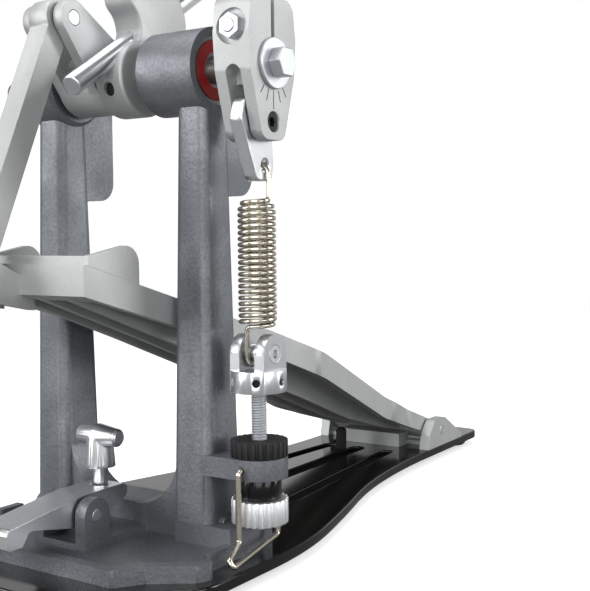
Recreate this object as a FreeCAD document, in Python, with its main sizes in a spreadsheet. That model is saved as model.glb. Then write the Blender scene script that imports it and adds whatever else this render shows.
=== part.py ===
import FreeCAD, Part
import math
import os
import re
import Sketcher

# Bass drum pedal unit with direct-drive link, beater, side return spring and hoop clamp.
# +X points at the drum, +Y to the drummer's left (the spring side), +Z up.
# The origin lies on the floor, under the middle of the axle. Lengths are in millimetres, angles in degrees.

SIZES = {
    # rubber feet and base plate
    "foot_height": 3.6,
    "foot_radius": 9.0,
    "foot_edge": 1.2,
    "foot_inset": 13.0,
    "plate_thick": 4.4,
    "plate_nose": 76.0,
    "plate_nose_half": 24.0,
    "plate_shoulder": 39.0,
    "plate_half": 67.5,
    "plate_heel": 270.0,
    "plate_heel_half": 37.0,
    "plate_round": 45.0,
    "plate_corner": 8.0,
    "slot_narrow": 6.5,
    "slot_wide": 8.0,
    "slot_length": 110.0,
    "slot_end": 184.0,
    "slot_outer_y": 18.5,
    "slot_slant": 4.8,
    # pedestal casting
    "axle_height": 190.0,
    "post_inner": 30.2,
    "post_outer": 44.4,
    "post_half": 7.6,
    "post_foot_half": 11.5,
    "post_grow": 2.2,
    "post_round": 4.2,
    "post_web": 22.0,
    "post_web_height": 42.0,
    "gusset_back": 25.0,
    "gusset_drop": 46.5,
    "gusset_round": 8.0,
    "housing_radius": 16.0,
    "housing_inner": 16.8,
    "short_housing_inner": 28.0,
    "housing_lip": 1.5,
    "through_bore": 7.5,
    "base_back": 16.0,
    "base_front": 8.0,
    "wall_out": 56.5,
    "wall_tall": 11.5,
    "base_gap": 2.35,
    "base_tall": 14.0,
    "base_slope": 3.0,
    "base_round": 4.0,
    "flange_thick": 3.5,
    "flange_left": 64.0,
    "flange_front": 56.4,
    "lip_tall": 2.6,
    "lip_thick": 4.2,
    "ear_thick": 7.7,
    "ear_low": 38.3,
    "ear_radius": 10.7,
    "ear_root": 6.0,
    "screw_head_radius": 5.0,
    "screw_head_tall": 4.0,
    "screw_radius": 3.0,
    "screw_inset": 8.0,
    "flange_screw_side": 30.0,
    "fit": 0.05,
    "clearance": 0.4,
    "overrun": 30.0,
    # bearings and axle
    "bearing_radius": 13.0,
    "bearing_width": 8.0,
    "bearing_inset": 0.9,
    "seal_inner": 6.6,
    "seal_outer": 11.2,
    "seal_thick": 0.4,
    "axle_radius": 5.0,
    "hex_flats": 11.0,
    "stub_start": 46.5,
    "stub_reach": 66.0,
    "stub_radius": 4.75,
    "stub_chamfer": 1.0,
    # spring arm on the axle's left end
    "spring_y": 62.0,
    "spring_arm_thick": 16.0,
    "spring_arm_half": 15.0,
    "spring_arm_top": 24.0,
    "spring_arm_tail": 27.5,
    "spring_arm_tail_half": 7.0,
    "spring_arm_round": 5.0,
    "slit": 2.2,
    "pinch_rise": 12.0,
    "pinch_radius": 2.5,
    "pinch_head_radius": 4.4,
    "pinch_head_tall": 5.0,
    "pinch_nut_flats": 8.0,
    "pinch_nut_tall": 4.2,
    "nut_recess": 2.6,
    "nut_recess_radius": 6.4,
    "washer_radius": 9.2,
    "washer_thick": 1.6,
    "end_head_flats": 10.0,
    "end_head_tall": 5.0,
    "end_shank": 3.0,
    "end_shank_length": 15.0,
    "hanger_drop": 20.9,
    "hanger_pin_radius": 2.5,
    "hanger_pin_recess": 0.8,
    "hanger_head_radius": 3.6,
    "hanger_head_tall": 2.4,
    "hanger_socket": 3.2,
    "fork_gap": 6.5,
    "fork_depth": 13.4,
    "fork_front": 6.6,
    "fork_front_drop": 4.6,
    # spring hanger, spring and tension screw
    "hanger_thick": 5.6,
    "hanger_width": 19.5,
    "hanger_length": 21.0,
    "hanger_round": 3.0,
    "hook_hole_radius": 2.6,
    "hook_hole_drop": 15.5,
    "spring_wire": 1.7,
    "spring_outer": 14.4,
    "hook_rise": 9.85,
    "hook_straight": 6.2,
    "spring_pitch": 2.188,
    "spring_bend": 1.9,
    "roller_height": 84.4,
    "roller_radius": 3.2,
    "roller_half": 3.0,
    "clevis_screw_radius": 2.0,
    "clevis_head_radius": 3.6,
    "clevis_head_tall": 2.2,
    "clevis_gap": 6.8,
    "clevis_cheek": 4.2,
    "clevis_cheek_radius": 7.4,
    "clevis_drop": 14.1,
    "flange_tall": 8.1,
    "flange_radius": 10.5,
    "flange_hole": 1.5,
    "rod_radius": 3.0,
    "rod_low": 18.5,
    "lock_nut_radius": 10.75,
    "lock_nut_tall": 6.2,
    "sleeve_radius": 8.25,
    "sleeve_tall": 7.9,
    "tension_nut_radius": 10.65,
    "tension_nut_tall": 9.0,
    "tension_nut_gap": 0.3,
    "flute_radius": 0.75,
    # wire bail under the ear
    "bail_wire": 2.2,
    "bail_pivot_y": -0.6,
    "bail_seat": 3.2,
    "bail_half": 12.6,
    "bail_knee_drop": 26.2,
    "bail_tip_out": 5.0,
    "bail_tip_drop": 33.2,
    "bail_tip_front": 32.5,
    "bail_back_drop": 29.2,
    "bail_bend": 1.7,
    # heel hinge
    "heel_x": 216.0,
    "heel_z": 16.5,
    "heel_pin_radius": 2.5,
    "heel_barrel_radius": 5.2,
    "heel_half": 31.4,
    "cheek_thick": 6.0,
    "cheek_radius": 7.2,
    "heel_floor": 2.4,
    "heel_front": 18.0,
    "heel_back": 27.0,
    "heel_screw_y": 18.0,
    "heel_riser": 7.4,
    "heel_riser_half": 19.0,
    "bumper_x": 178.0,
    "bumper_y": -7.0,
    "bumper_radius": 2.9,
    "bumper_tall": 12.0,
    # footboard
    "toe_setback": 14.0,
    "board_rise": 96.9,
    "board_toe_half": 28.2,
    "board_wide_half": 35.0,
    "board_skin": 4.5,
    "board_rail": 4.0,
    "board_rib": 3.0,
    "board_bend": 70.0,
    "board_plan_round": 45.0,
    "toe_x": 68.0,
    "toe_drop": 5.7,
    "toe_pin_radius": 3.0,
    "toe_lug_radius": 7.5,
    "link_y": 15.5,
    "link_thick": 10.0,
    "link_half": 5.0,
    "link_eye_radius": 7.6,
    "side_gap": 1.0,
    "cheek_wall": 4.5,
    "eye_slack": 1.75,
    "eye_offset": 1.37,
    "pin_overhang": 1.5,
    "stop_gap": 2.5,
    "stop_back": 26.0,
    "stop_rise": 16.0,
    "stop_fall": 3.6,
    "stop_out": 27.0,
    "stop_wall": 3.0,
    "stop_round": 7.0,
    # drive arm and beater
    "arm_reach": 32.0,
    "arm_angle": 42.0,
    "arm_hub_radius": 13.0,
    "arm_pin_radius": 3.0,
    "arm_end_radius": 6.8,
    "hub_left": 9.8,
    "hub_right": 4.0,
    "hub_radius": 15.0,
    "beater_lean": 57.0,
    "beater_offset": 13.3,
    "beater_rod_radius": 4.0,
    "beater_rod_below": 32.0,
    "beater_rod_above": 150.0,
    "boss_radius": 8.2,
    "boss_half": 13.0,
    "set_screw_radius": 2.5,
    "set_screw_length": 6.0,
    "head_radius": 23.0,
    "head_half": 24.0,
    "head_edge": 5.0,
    # hoop clamp
    "clamp_y": -2.0,
    "clamp_x": 34.0,
    "clamp_z": 24.0,
    "clamp_pin_radius": 2.5,
    "clamp_lug_radius": 6.5,
    "clamp_lug_thick": 5.0,
    "jaw_half": 7.5,
    "jaw_nose": 72.0,
    "jaw_tail": 11.0,
    "jaw_thick": 7.0,
    "jaw_tip": 5.0,
    "jaw_round": 2.5,
    "recess_floor": 14.0,
    "wing_x": 18.0,
    "wing_bolt_radius": 3.0,
    "wing_hub_radius": 6.0,
    "wing_hub_low": 38.0,
    "wing_hub_tall": 12.0,
    "wing_half": 10.5,
    "wing_tall": 9.8,
    "wing_thick": 7.0,
}

# Tables of shares: places along the plate, the board and the repeated details.
plate_shares = ((-0.09, 1.02), (-0.267, 0.845), (-0.437, 0.64), (-0.63, 0.55))
flange_shares = ((0.03, 0.72), (0.03, 0.9), (0.45, 0.9), (0.55, 0.992), (0.65, 0.953), (0.83, 0.72),
                 (1.0, 0.61))
board_top_shares = ((0.0, 0.0), (0.235, 0.228), (0.455, 0.53), (0.6, 0.672), (1.0, 1.0))
board_low_shares = ((1.0, 0.885), (0.6, 0.56), (0.455, 0.408), (0.235, 0.116), (0.063, -0.03),
                    (0.0084, -0.06))
board_plan_shares = ((1.0, 0.96), (0.70, 1.0), (0.48, 1.24), (0.2, 1.24), (0.115, 1.1), (0.0, 1.1))
rib_shares = (-0.5, 0.0, 0.5)
riser_start_share = 0.35
short_cheek_share = 0.6
rib_low_shares = ((1.0, 0.885), (0.785, 0.665), (0.559, 0.425), (0.43, 0.295), (0.2556, 0.106),
                  (0.0963, -0.02), (0.0084, -0.06))
spring_arm_shares = ((0.87, 1.0), (1.0, 0.42), (0.93, -0.14))
lug_shares = ((-2.8, -1.55), (-2.8, -0.25), (-0.45, 0.95), (0.95, 0.4), (1.0, -0.75), (-0.2, -1.0))
hanger_shares = ((-0.3, 0.22), (0.14, 0.5), (0.52, 0.38), (0.65, 0.03), (0.4, -0.52), (0.26, -0.8),
                 (0.17, -1.0), (-0.33, -1.0), (-0.38, -0.74), (-0.34, -0.15))
FLUTES = 24
FLANGE_HOLES = 6
LEAD_TURNS = 1.25

doc = FreeCAD.newDocument("bass_drum_pedal")
sheet = doc.addObject("Spreadsheet::Sheet", "Sizes")
for row, (alias, number) in enumerate(SIZES.items(), 1):
    sheet.set("A%d" % row, alias)
    sheet.set("B%d" % row, str(number))
    sheet.setAlias("B%d" % row, alias)
doc.recompute()

Vector = FreeCAD.Vector
PLANES = {
    "XY": (FreeCAD.Rotation(), Vector(0, 0, 1), "z"),
    "XZ": (FreeCAD.Rotation(Vector(1, 0, 0), 90), Vector(0, 1, 0), "y"),
    "YZ": (FreeCAD.Rotation(Vector(1, 1, 1), 120), Vector(1, 0, 0), "x"),
}
TURNS = {
    "X": FreeCAD.Rotation(Vector(0, 1, 0), 90),
    "Y": FreeCAD.Rotation(Vector(1, 0, 0), -90),
    "Z": FreeCAD.Rotation(),
}
pieces = {}


def full(text):
    """Put the sheet's name before every alias of an expression."""
    def named(match):
        return "Sizes." + match.group(0) if match.group(0) in SIZES else match.group(0)
    return re.sub(r"[a-z][a-z_0-9]*", named, text)


def amount(text):
    return float(sheet.evalExpression(full(text)))


def bind(item, prop, text):
    item.setExpression(prop, full(text))


def place(item, x, y, z):
    for axis, text in zip("xyz", (x, y, z)):
        bind(item, "Placement.Base." + axis, text)


def sketch(name, plane, corners, at="0"):
    """A closed outline on a plane, each corner held at its two sizes."""
    outline = doc.addObject("Sketcher::SketchObject", name)
    turn, normal, axis = PLANES[plane]
    outline.Placement = FreeCAD.Placement(Vector(), turn)
    bind(outline, "Placement.Base." + axis, at)
    points = [Vector(amount(corner[0]), amount(corner[1]), 0) for corner in corners]
    count = len(points)
    for i in range(count):
        outline.addGeometry(Part.LineSegment(points[i], points[(i + 1) % count]))
    for i, corner in enumerate(corners):
        outline.addConstraint(Sketcher.Constraint("Coincident", i, 2, (i + 1) % count, 1))
        for kind, text in zip(("DistanceX", "DistanceY"), corner):
            held = outline.addConstraint(Sketcher.Constraint(kind, -1, 1, i, 1, amount(text)))
            bind(outline, "Constraints[%d]" % held, text)
    return outline


def prism(name, plane, corners, at, length):
    """An outline pushed out from a plane; a corner's third entry rounds it."""
    outline = sketch(name + "_outline", plane, corners, at)
    body = doc.addObject("Part::Extrusion", name)
    body.Base = outline
    body.DirMode = "Custom"
    body.Dir = PLANES[plane][1]
    body.Solid = True
    bind(body, "LengthFwd", length)
    rounds = [corner for corner in corners if len(corner) == 3]
    if not rounds:
        return body
    doc.recompute()
    turn = PLANES[plane][0]
    chosen = []
    for corner in rounds:
        spot = turn.multVec(Vector(amount(corner[0]), amount(corner[1]), 0))
        for i, edge in enumerate(body.Shape.Edges, 1):
            along = edge.Vertexes[-1].Point - edge.Vertexes[0].Point
            if along.cross(PLANES[plane][1]).Length > along.Length / 1e6:
                continue
            apart = edge.Vertexes[0].Point - spot
            if apart.cross(PLANES[plane][1]).Length < along.Length / 1e6:
                chosen.append((i, amount(corner[2]), amount(corner[2])))
    soft = doc.addObject("Part::Fillet", name + "_rounded")
    soft.Base = body
    soft.Edges = chosen
    return soft


def cylinder(name, axis, start, radius, length):
    item = doc.addObject("Part::Cylinder", name)
    item.Placement = FreeCAD.Placement(Vector(), TURNS[axis])
    bind(item, "Radius", radius)
    bind(item, "Height", length)
    place(item, *start)
    return item


def hexagon(name, axis, start, flats, length):
    item = doc.addObject("Part::Prism", name)
    item.Polygon = 6
    item.Placement = FreeCAD.Placement(Vector(), TURNS[axis])
    bind(item, "Circumradius", "(%s)/sqrt(3)" % flats)
    bind(item, "Height", length)
    place(item, *start)
    return item


def box(name, low, size):
    item = doc.addObject("Part::Box", name)
    for prop, text in zip(("Length", "Width", "Height"), size):
        bind(item, prop, text)
    place(item, *low)
    return item


def slanted(name, start, turn, radius, length):
    """A cylinder whose axis is turned about the Y axis."""
    item = doc.addObject("Part::Cylinder", name)
    item.Placement = FreeCAD.Placement(Vector(), FreeCAD.Rotation(Vector(0, 1, 0), amount(turn)))
    bind(item, "Radius", radius)
    bind(item, "Height", length)
    place(item, *start)
    return item


def turned(name, axis, centre, profile):
    """A profile of radius and reach pairs, turned about an axis through the centre."""
    if axis == "X":
        outline = sketch(name + "_profile", "XY", [(reach, radius) for radius, reach in profile])
    else:
        outline = sketch(name + "_profile", "XY" if axis == "Y" else "XZ", profile)
    place(outline, *centre)
    item = doc.addObject("Part::Revolution", name)
    item.Source = outline
    item.Axis = {"X": Vector(1, 0, 0), "Y": Vector(0, 1, 0), "Z": Vector(0, 0, 1)}[axis]
    for letter, text in zip("xyz", centre):
        bind(item, "Base." + letter, text)
    item.Solid = True
    return item


def fuse(name, *items):
    joined = doc.addObject("Part::MultiFuse", name)
    joined.Shapes = list(items)
    joined.Refine = True
    return joined


def common(name, first, second):
    shared = doc.addObject("Part::Common", name)
    shared.Base = first
    shared.Tool = second
    return shared


def cut(name, base, *tools):
    carved = doc.addObject("Part::Cut", name)
    carved.Base = base
    carved.Tool = tools[0] if len(tools) == 1 else fuse(name + "_tools", *tools)
    return carved


def group(name, *items):
    together = doc.addObject("Part::Compound", name)
    together.Links = list(items)
    return together


def piece(label, item):
    item.Label = label
    pieces[label] = item


def bent_path(points, radius):
    """Straight runs through the points, joined by tangent arcs."""
    edges = []
    last = points[0]
    for before, corner, after in zip(points, points[1:], points[2:]):
        coming = (before - corner).normalize()
        going = (after - corner).normalize()
        half = coming.getAngle(going) / 2
        reach = radius / math.tan(half)
        start = corner + coming * reach
        end = corner + going * reach
        middle = corner + (coming + going).normalize() * (radius / math.sin(half) - radius)
        edges.append(Part.LineSegment(last, start).toShape())
        edges.append(Part.Arc(start, middle, end).toShape())
        last = end
    edges.append(Part.LineSegment(last, points[-1]).toShape())
    return Part.Wire(edges)


def tangent_arc(start, heading, end):
    chord = end - start
    line = Vector(chord).normalize()
    side = heading - line * heading.dot(line)
    if side.Length < 1e-9:
        return Part.LineSegment(start, end).toShape()
    sag = chord.Length / 2 * math.tan(heading.getAngle(chord) / 2)
    return Part.Arc(start, start + chord / 2 + side.normalize() * sag, end).toShape()


def biarc(start, heading, end, leaving):
    """Two tangent arcs from one point and heading to another."""
    across = end - start
    both = heading + leaving
    spread = 2 * (1 - heading.dot(leaving))
    if spread < 1e-9:
        return [Part.LineSegment(start, end).toShape()]
    lean = across.dot(both)
    reach = (math.sqrt(lean * lean + spread * across.dot(across)) - lean) / spread
    middle = (start + end + (heading - leaving) * reach) / 2
    turning = (end - leaving * reach - start - heading * reach).normalize()
    return [tangent_arc(start, heading, middle), tangent_arc(middle, turning, end)]


def tube(path, radius):
    """A round wire along a path of straight runs and arcs."""
    first = path.OrderedEdges[0]
    heading = first.tangentAt(first.FirstParameter)
    ring = Part.Wire([Part.Circle(first.valueAt(first.FirstParameter), heading, radius).toShape()])
    return path.makePipeShell([ring], True, False)


def feature(name, shape):
    item = doc.addObject("Part::Feature", name)
    item.Shape = shape
    return item


# Places that several pieces share.
FLANGE_TOP = "(foot_height+plate_thick+flange_thick)"
BASE_TOP = "(foot_height+plate_thick+base_tall)"
EAR_TOP = "(ear_low+ear_thick)"
ARM_OUT = "(spring_y+spring_arm_thick/2)"
ARM_IN = "(spring_y-spring_arm_thick/2)"
HANGER_Z = "(axle_height-hanger_drop)"
PIN_X = "(arm_reach*cos(arm_angle))"
PIN_Z = "(axle_height+arm_reach*sin(arm_angle))"
EYE_X = "(arm_reach*cos(arm_angle)+eye_offset)"
BASE_HALF = "(spring_y-tension_nut_radius-base_gap)"
TOE_Z = "(heel_z+heel_barrel_radius+board_rise-toe_drop)"
BOARD_REACH = "(heel_x+toe_x-toe_setback)"
CLEVIS_LOW = "(roller_height-clevis_drop)"
HEEL_TOP = "(heel_z+heel_barrel_radius)"
FORK_IN = "(link_thick/2+side_gap)"
FORK_OUT = "(link_thick/2+side_gap+cheek_wall)"


def plate_outline():
    """The plate's corners from the nose round the spring side to the heel and back."""
    left = [("%s*plate_heel" % x, "%s*plate_half" % y, "plate_round") for x, y in plate_shares]
    right = [("%s*plate_heel" % x, "-%s*plate_half" % y, "plate_round") for x, y in plate_shares]
    nose = [("plate_nose", "-plate_nose_half", "plate_corner"),
            ("plate_nose", "plate_nose_half", "plate_corner")]
    shoulder = [("plate_shoulder", "plate_half", "plate_corner")]
    heel = [("-plate_heel", "plate_heel_half", "plate_corner"),
            ("-plate_heel", "-plate_heel_half", "plate_corner")]
    far = [("plate_shoulder", "-plate_half", "plate_corner")]
    return nose + shoulder + left + heel + right[::-1] + far


def slot(name, y, width, slant):
    """A long round-ended slot through the plate, running to the heel."""
    hole = fuse(
        name,
        box(name + "_run", ("0", "-(%s)/2" % width, "0"), ("slot_length", width, "overrun")),
        cylinder(name + "_front", "Z", ("slot_length", "0", "0"), "(%s)/2" % width, "overrun"),
        cylinder(name + "_back", "Z", ("0", "0", "0"), "(%s)/2" % width, "overrun"),
    )
    hole.Placement = FreeCAD.Placement(Vector(), FreeCAD.Rotation(Vector(0, 0, 1), amount(slant)))
    place(hole, "-slot_end", y, "0")
    return hole


def screw_spots():
    """Flange screws in a row behind the casting's bar."""
    return tuple(("-base_back-screw_inset", y) for y in ("flange_screw_side", "0", "-flange_screw_side"))


def heel_spots():
    """Screws of the heel block, behind the hinge."""
    return (("-heel_x-heel_back+screw_inset", "heel_screw_y"),
            ("-heel_x-heel_back+screw_inset", "-heel_screw_y"))


def holes(name, spots, radius):
    return [
        cylinder("%s_%d" % (name, i), "Z", (x, y, "0"), radius, "overrun")
        for i, (x, y) in enumerate(spots)
    ]


def foot_spots():
    heel = "-plate_heel+foot_inset"
    return (
        ("0", "0"),
        ("plate_shoulder-foot_inset", "plate_half-foot_inset"),
        ("plate_shoulder-foot_inset", "-plate_half+foot_inset"),
        (heel, "plate_heel_half-foot_inset"),
        (heel, "-plate_heel_half+foot_inset"),
    )


def build_base():
    plate = prism("plate_body", "XY", plate_outline(), "foot_height", "plate_thick")
    slots = [slot("slot_middle", "0", "slot_wide", "0")]
    for side, sign in (("left", ""), ("right", "-")):
        slots.append(slot("slot_%s_outer" % side, "%sslot_outer_y" % sign, "slot_narrow",
                          "%sslot_slant" % sign))
    bores = holes("plate_bore", screw_spots() + heel_spots(), "screw_radius+fit")
    piece("base_plate", cut("base_plate", plate, *slots, *bores))
    feet = [
        turned("foot_%d" % i, "Z", (x, y, "0"), (
            ("0", "0"), ("foot_radius-foot_edge", "0"), ("foot_radius", "foot_edge"),
            ("foot_radius", "foot_height"), ("0", "foot_height")))
        for i, (x, y) in enumerate(foot_spots())
    ]
    piece("rubber_feet", group("rubber_feet", *feet))


def post(name, sign):
    """One post, tapered and rounded, with the gusset behind its head and the web inside its foot."""
    low = "foot_height+plate_thick"
    front = prism(name + "_front", "XZ", [
        ("post_foot_half", low),
        ("post_half", "axle_height"),
        ("-post_half", "axle_height"),
        ("-post_foot_half", low),
    ], sign + "post_inner-overrun", "overrun*3")
    side = prism(name + "_side", "YZ", [
        (sign + "(post_inner-post_grow)", low),
        (sign + "(post_outer+post_grow)", low),
        (sign + "post_outer", "axle_height"),
        (sign + "post_inner", "axle_height"),
    ], "-overrun", "overrun*2")
    column = common(name, front, side)
    doc.recompute()
    chosen = [(i, amount("post_round"), amount("post_round"))
              for i, edge in enumerate(column.Shape.Edges, 1) if edge.Length > amount("axle_height/2")]
    soft = doc.addObject("Part::Fillet", name + "_rounded")
    soft.Base = column
    soft.Edges = chosen
    gusset = prism(name + "_gusset", "XZ", [
        ("0", "axle_height"),
        ("-gusset_back", "axle_height"),
        ("-gusset_back", "axle_height-gusset_drop", "gusset_round"),
        ("0", "axle_height-gusset_drop"),
    ], "-post_outer+post_grow" if sign else "post_inner+post_grow", "post_outer-post_inner-post_grow*2")
    web = prism(name + "_web", "YZ", [
        (sign + "post_outer", low),
        (sign + "post_outer", BASE_TOP + "+post_web_height"),
        (sign + "(post_inner-post_grow/2)", BASE_TOP + "+post_web_height"),
        (sign + "(post_inner-post_grow)", BASE_TOP, "post_web"),
        ("0", BASE_TOP),
        ("0", low),
    ], "-post_half", "post_half*2")
    return soft, gusset, web


def housing(name, sign, inner):
    """The bearing housing on top of a post, with a thin lip at its outer rim."""
    return turned(name, "Y", ("0", "0", "axle_height"), (
        ("0", sign + inner),
        ("housing_radius-housing_lip", sign + inner),
        ("housing_radius", sign + "(%s+housing_lip)" % inner),
        ("housing_radius", sign + "post_outer"),
        ("0", sign + "post_outer"),
    ))


def flange_outline(inset):
    """Corners of the casting's flange: narrow behind the posts, wide beside them, tapered to the front."""
    left = [("%s*(flange_front%s)" % (x, inset), "%s*(flange_left%s)" % (y, inset), "base_round/2")
            for x, y in flange_shares]
    back = [("-base_back-screw_inset*2", "%s*(flange_left%s)" % (flange_shares[0][1], inset), "base_round")]
    right = [(corner[0], "-" + corner[1], corner[2]) for corner in back + left]
    return back + left + right[::-1]


def build_pedestal():
    bar = prism("casting_bar", "XZ", [
        ("-base_back", "foot_height+plate_thick"),
        ("-base_back", BASE_TOP, "base_round"),
        ("base_front-base_slope", BASE_TOP, "base_round"),
        ("base_front", "foot_height+plate_thick"),
    ], "-" + BASE_HALF, BASE_HALF + "*2")
    tray = cut(
        "casting_tray",
        prism("casting_flange", "XY", flange_outline(""), "foot_height+plate_thick", "flange_thick+lip_tall"),
        prism("tray_floor", "XY", flange_outline("-lip_thick"), FLANGE_TOP, "overrun"),
        box("tray_back", ("-overrun*3", "-overrun*3", FLANGE_TOP),
            ("overrun*3+post_foot_half", "overrun*6", "overrun")),
    )
    ear = fuse(
        "spring_ear",
        box("ear_run", ("-ear_radius", "post_outer-ear_root", "ear_low"),
            ("ear_radius*2", "spring_y-post_outer+ear_root", "ear_thick")),
        cylinder("ear_end", "Z", ("0", "spring_y", "ear_low"), "ear_radius", "ear_thick"),
    )
    lugs = []
    for name, low in (("left", "clamp_y+jaw_half+side_gap"),
                      ("right", "clamp_y-jaw_half-side_gap-clamp_lug_thick")):
        lugs.append(cylinder("clamp_lug_" + name, "Y", ("clamp_x", low, "clamp_z"), "clamp_lug_radius",
                             "clamp_lug_thick"))
        lugs.append(box("clamp_foot_" + name, ("clamp_x-clamp_lug_radius", low, "foot_height+plate_thick"),
                        ("clamp_lug_radius*2", "clamp_lug_thick", "clamp_z-foot_height-plate_thick")))
    seat = box("clamp_seat", ("0", "clamp_y-jaw_half-side_gap-clamp_lug_thick", "foot_height+plate_thick"),
               ("clamp_x+clamp_lug_radius", "jaw_half*2+side_gap*2+clamp_lug_thick*2",
                "recess_floor-foot_height-plate_thick"))
    wall = box("outer_wall", ("-base_back", "post_inner", "foot_height+plate_thick"),
               ("base_back+post_foot_half", "wall_out-post_inner", "wall_tall"))
    solid = fuse("casting", bar, tray, wall, seat, ear, *lugs,
                 *post("left_post", ""), *post("right_post", "-"),
                 housing("left_housing", "", "housing_inner"),
                 housing("right_housing", "-", "short_housing_inner"))
    recess = box("clamp_recess", ("wing_x-wing_hub_radius*2", "clamp_y-jaw_half-side_gap", "recess_floor"),
                 ("overrun*2", "jaw_half*2+side_gap*2", "overrun"))
    pocket = "bearing_width+bearing_inset"
    tools = [
        recess,
        cylinder("bearing_bore_left", "Y", ("0", "post_outer-(%s)" % pocket, "axle_height"),
                 "bearing_radius", "overrun"),
        cylinder("bearing_bore_right", "Y", ("0", "-post_outer-overrun+%s" % pocket, "axle_height"),
                 "bearing_radius", "overrun"),
        cylinder("axle_bore", "Y", ("0", "-post_outer-overrun", "axle_height"), "through_bore",
                 "post_outer*2+overrun*2"),
        cylinder("rod_bore", "Z", ("0", "spring_y", "ear_low-overrun/6"), "rod_radius+clearance",
                 "ear_thick+overrun/3"),
        cylinder("clamp_pin_bore", "Y", ("clamp_x", "clamp_y-overrun", "clamp_z"),
                 "clamp_pin_radius+fit", "overrun*2"),
        cylinder("bail_bore", "X", ("-overrun", "spring_y+bail_pivot_y", "ear_low+ear_thick/2"),
                 "bail_wire/2+clearance/2", "overrun*2"),
    ]
    tools += holes("casting_bore", screw_spots(), "screw_radius+fit")
    piece("pedestal", cut("pedestal", solid, *tools))
    screws = []
    for i, (x, y) in enumerate(screw_spots()):
        screws.append(fuse(
            "flange_screw_%d" % i,
            cylinder("flange_screw_head_%d" % i, "Z", (x, y, FLANGE_TOP), "screw_head_radius",
                     "screw_head_tall"),
            cylinder("flange_screw_shank_%d" % i, "Z", (x, y, "foot_height"), "screw_radius",
                     "plate_thick+flange_thick"),
        ))
    piece("pedestal_screws", group("pedestal_screws", *screws))


def build_bearings():
    rings = []
    seals = []
    for name, low, seal in (
        ("left", "post_outer-bearing_inset-bearing_width", "post_outer-bearing_inset"),
        ("right", "-post_outer+bearing_inset", "-post_outer+bearing_inset-seal_thick"),
    ):
        rings.append(cut(
            "bearing_" + name,
            cylinder("bearing_outer_" + name, "Y", ("0", low, "axle_height"), "bearing_radius-fit",
                     "bearing_width"),
            cylinder("bearing_inner_" + name, "Y", ("0", low + "-overrun/2", "axle_height"),
                     "axle_radius+fit",
                     "bearing_width+overrun"),
        ))
        seals.append(cut(
            "seal_" + name,
            cylinder("seal_rim_" + name, "Y", ("0", seal, "axle_height"), "seal_outer", "seal_thick"),
            cylinder("seal_hole_" + name, "Y", ("0", seal + "-overrun/2", "axle_height"), "seal_inner",
                     "overrun"),
        ))
    piece("bearings", group("bearings", *rings))
    piece("bearing_seals", group("bearing_seals", *seals))


def build_axle():
    hex_part = hexagon("axle_hex", "Y", ("0", "-short_housing_inner+side_gap", "axle_height"), "hex_flats",
                       "short_housing_inner+housing_inner-side_gap*2")
    shaft = turned("axle_shaft", "Y", ("0", "0", "axle_height"), (
        ("0", "-stub_reach"),
        ("stub_radius-stub_chamfer", "-stub_reach"),
        ("stub_radius", "-stub_reach+stub_chamfer"),
        ("stub_radius", "-stub_start"),
        ("axle_radius", "-stub_start"),
        ("axle_radius", ARM_OUT),
        ("0", ARM_OUT),
    ))
    bore = cylinder("axle_end_bore", "Y", ("0", ARM_OUT + "-end_shank_length", "axle_height"),
                    "end_shank+fit",
                    "overrun")
    piece("axle", cut("axle", fuse("axle_solid", hex_part, shaft), bore))
    piece("axle_washer", cut(
        "axle_washer",
        cylinder("washer_disc", "Y", ("0", ARM_OUT, "axle_height"), "washer_radius", "washer_thick"),
        cylinder("washer_hole", "Y", ("0", ARM_OUT + "-overrun/2", "axle_height"), "end_shank+fit",
                 "overrun"),
    ))
    piece("axle_end_bolt", fuse(
        "axle_end_bolt",
        hexagon("end_head", "Y", ("0", ARM_OUT + "+washer_thick", "axle_height"), "end_head_flats",
                "end_head_tall"),
        cylinder("end_shank_body", "Y", ("0", ARM_OUT + "-end_shank_length+clearance", "axle_height"),
                 "end_shank", "end_shank_length+washer_thick-clearance"),
    ))


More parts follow.
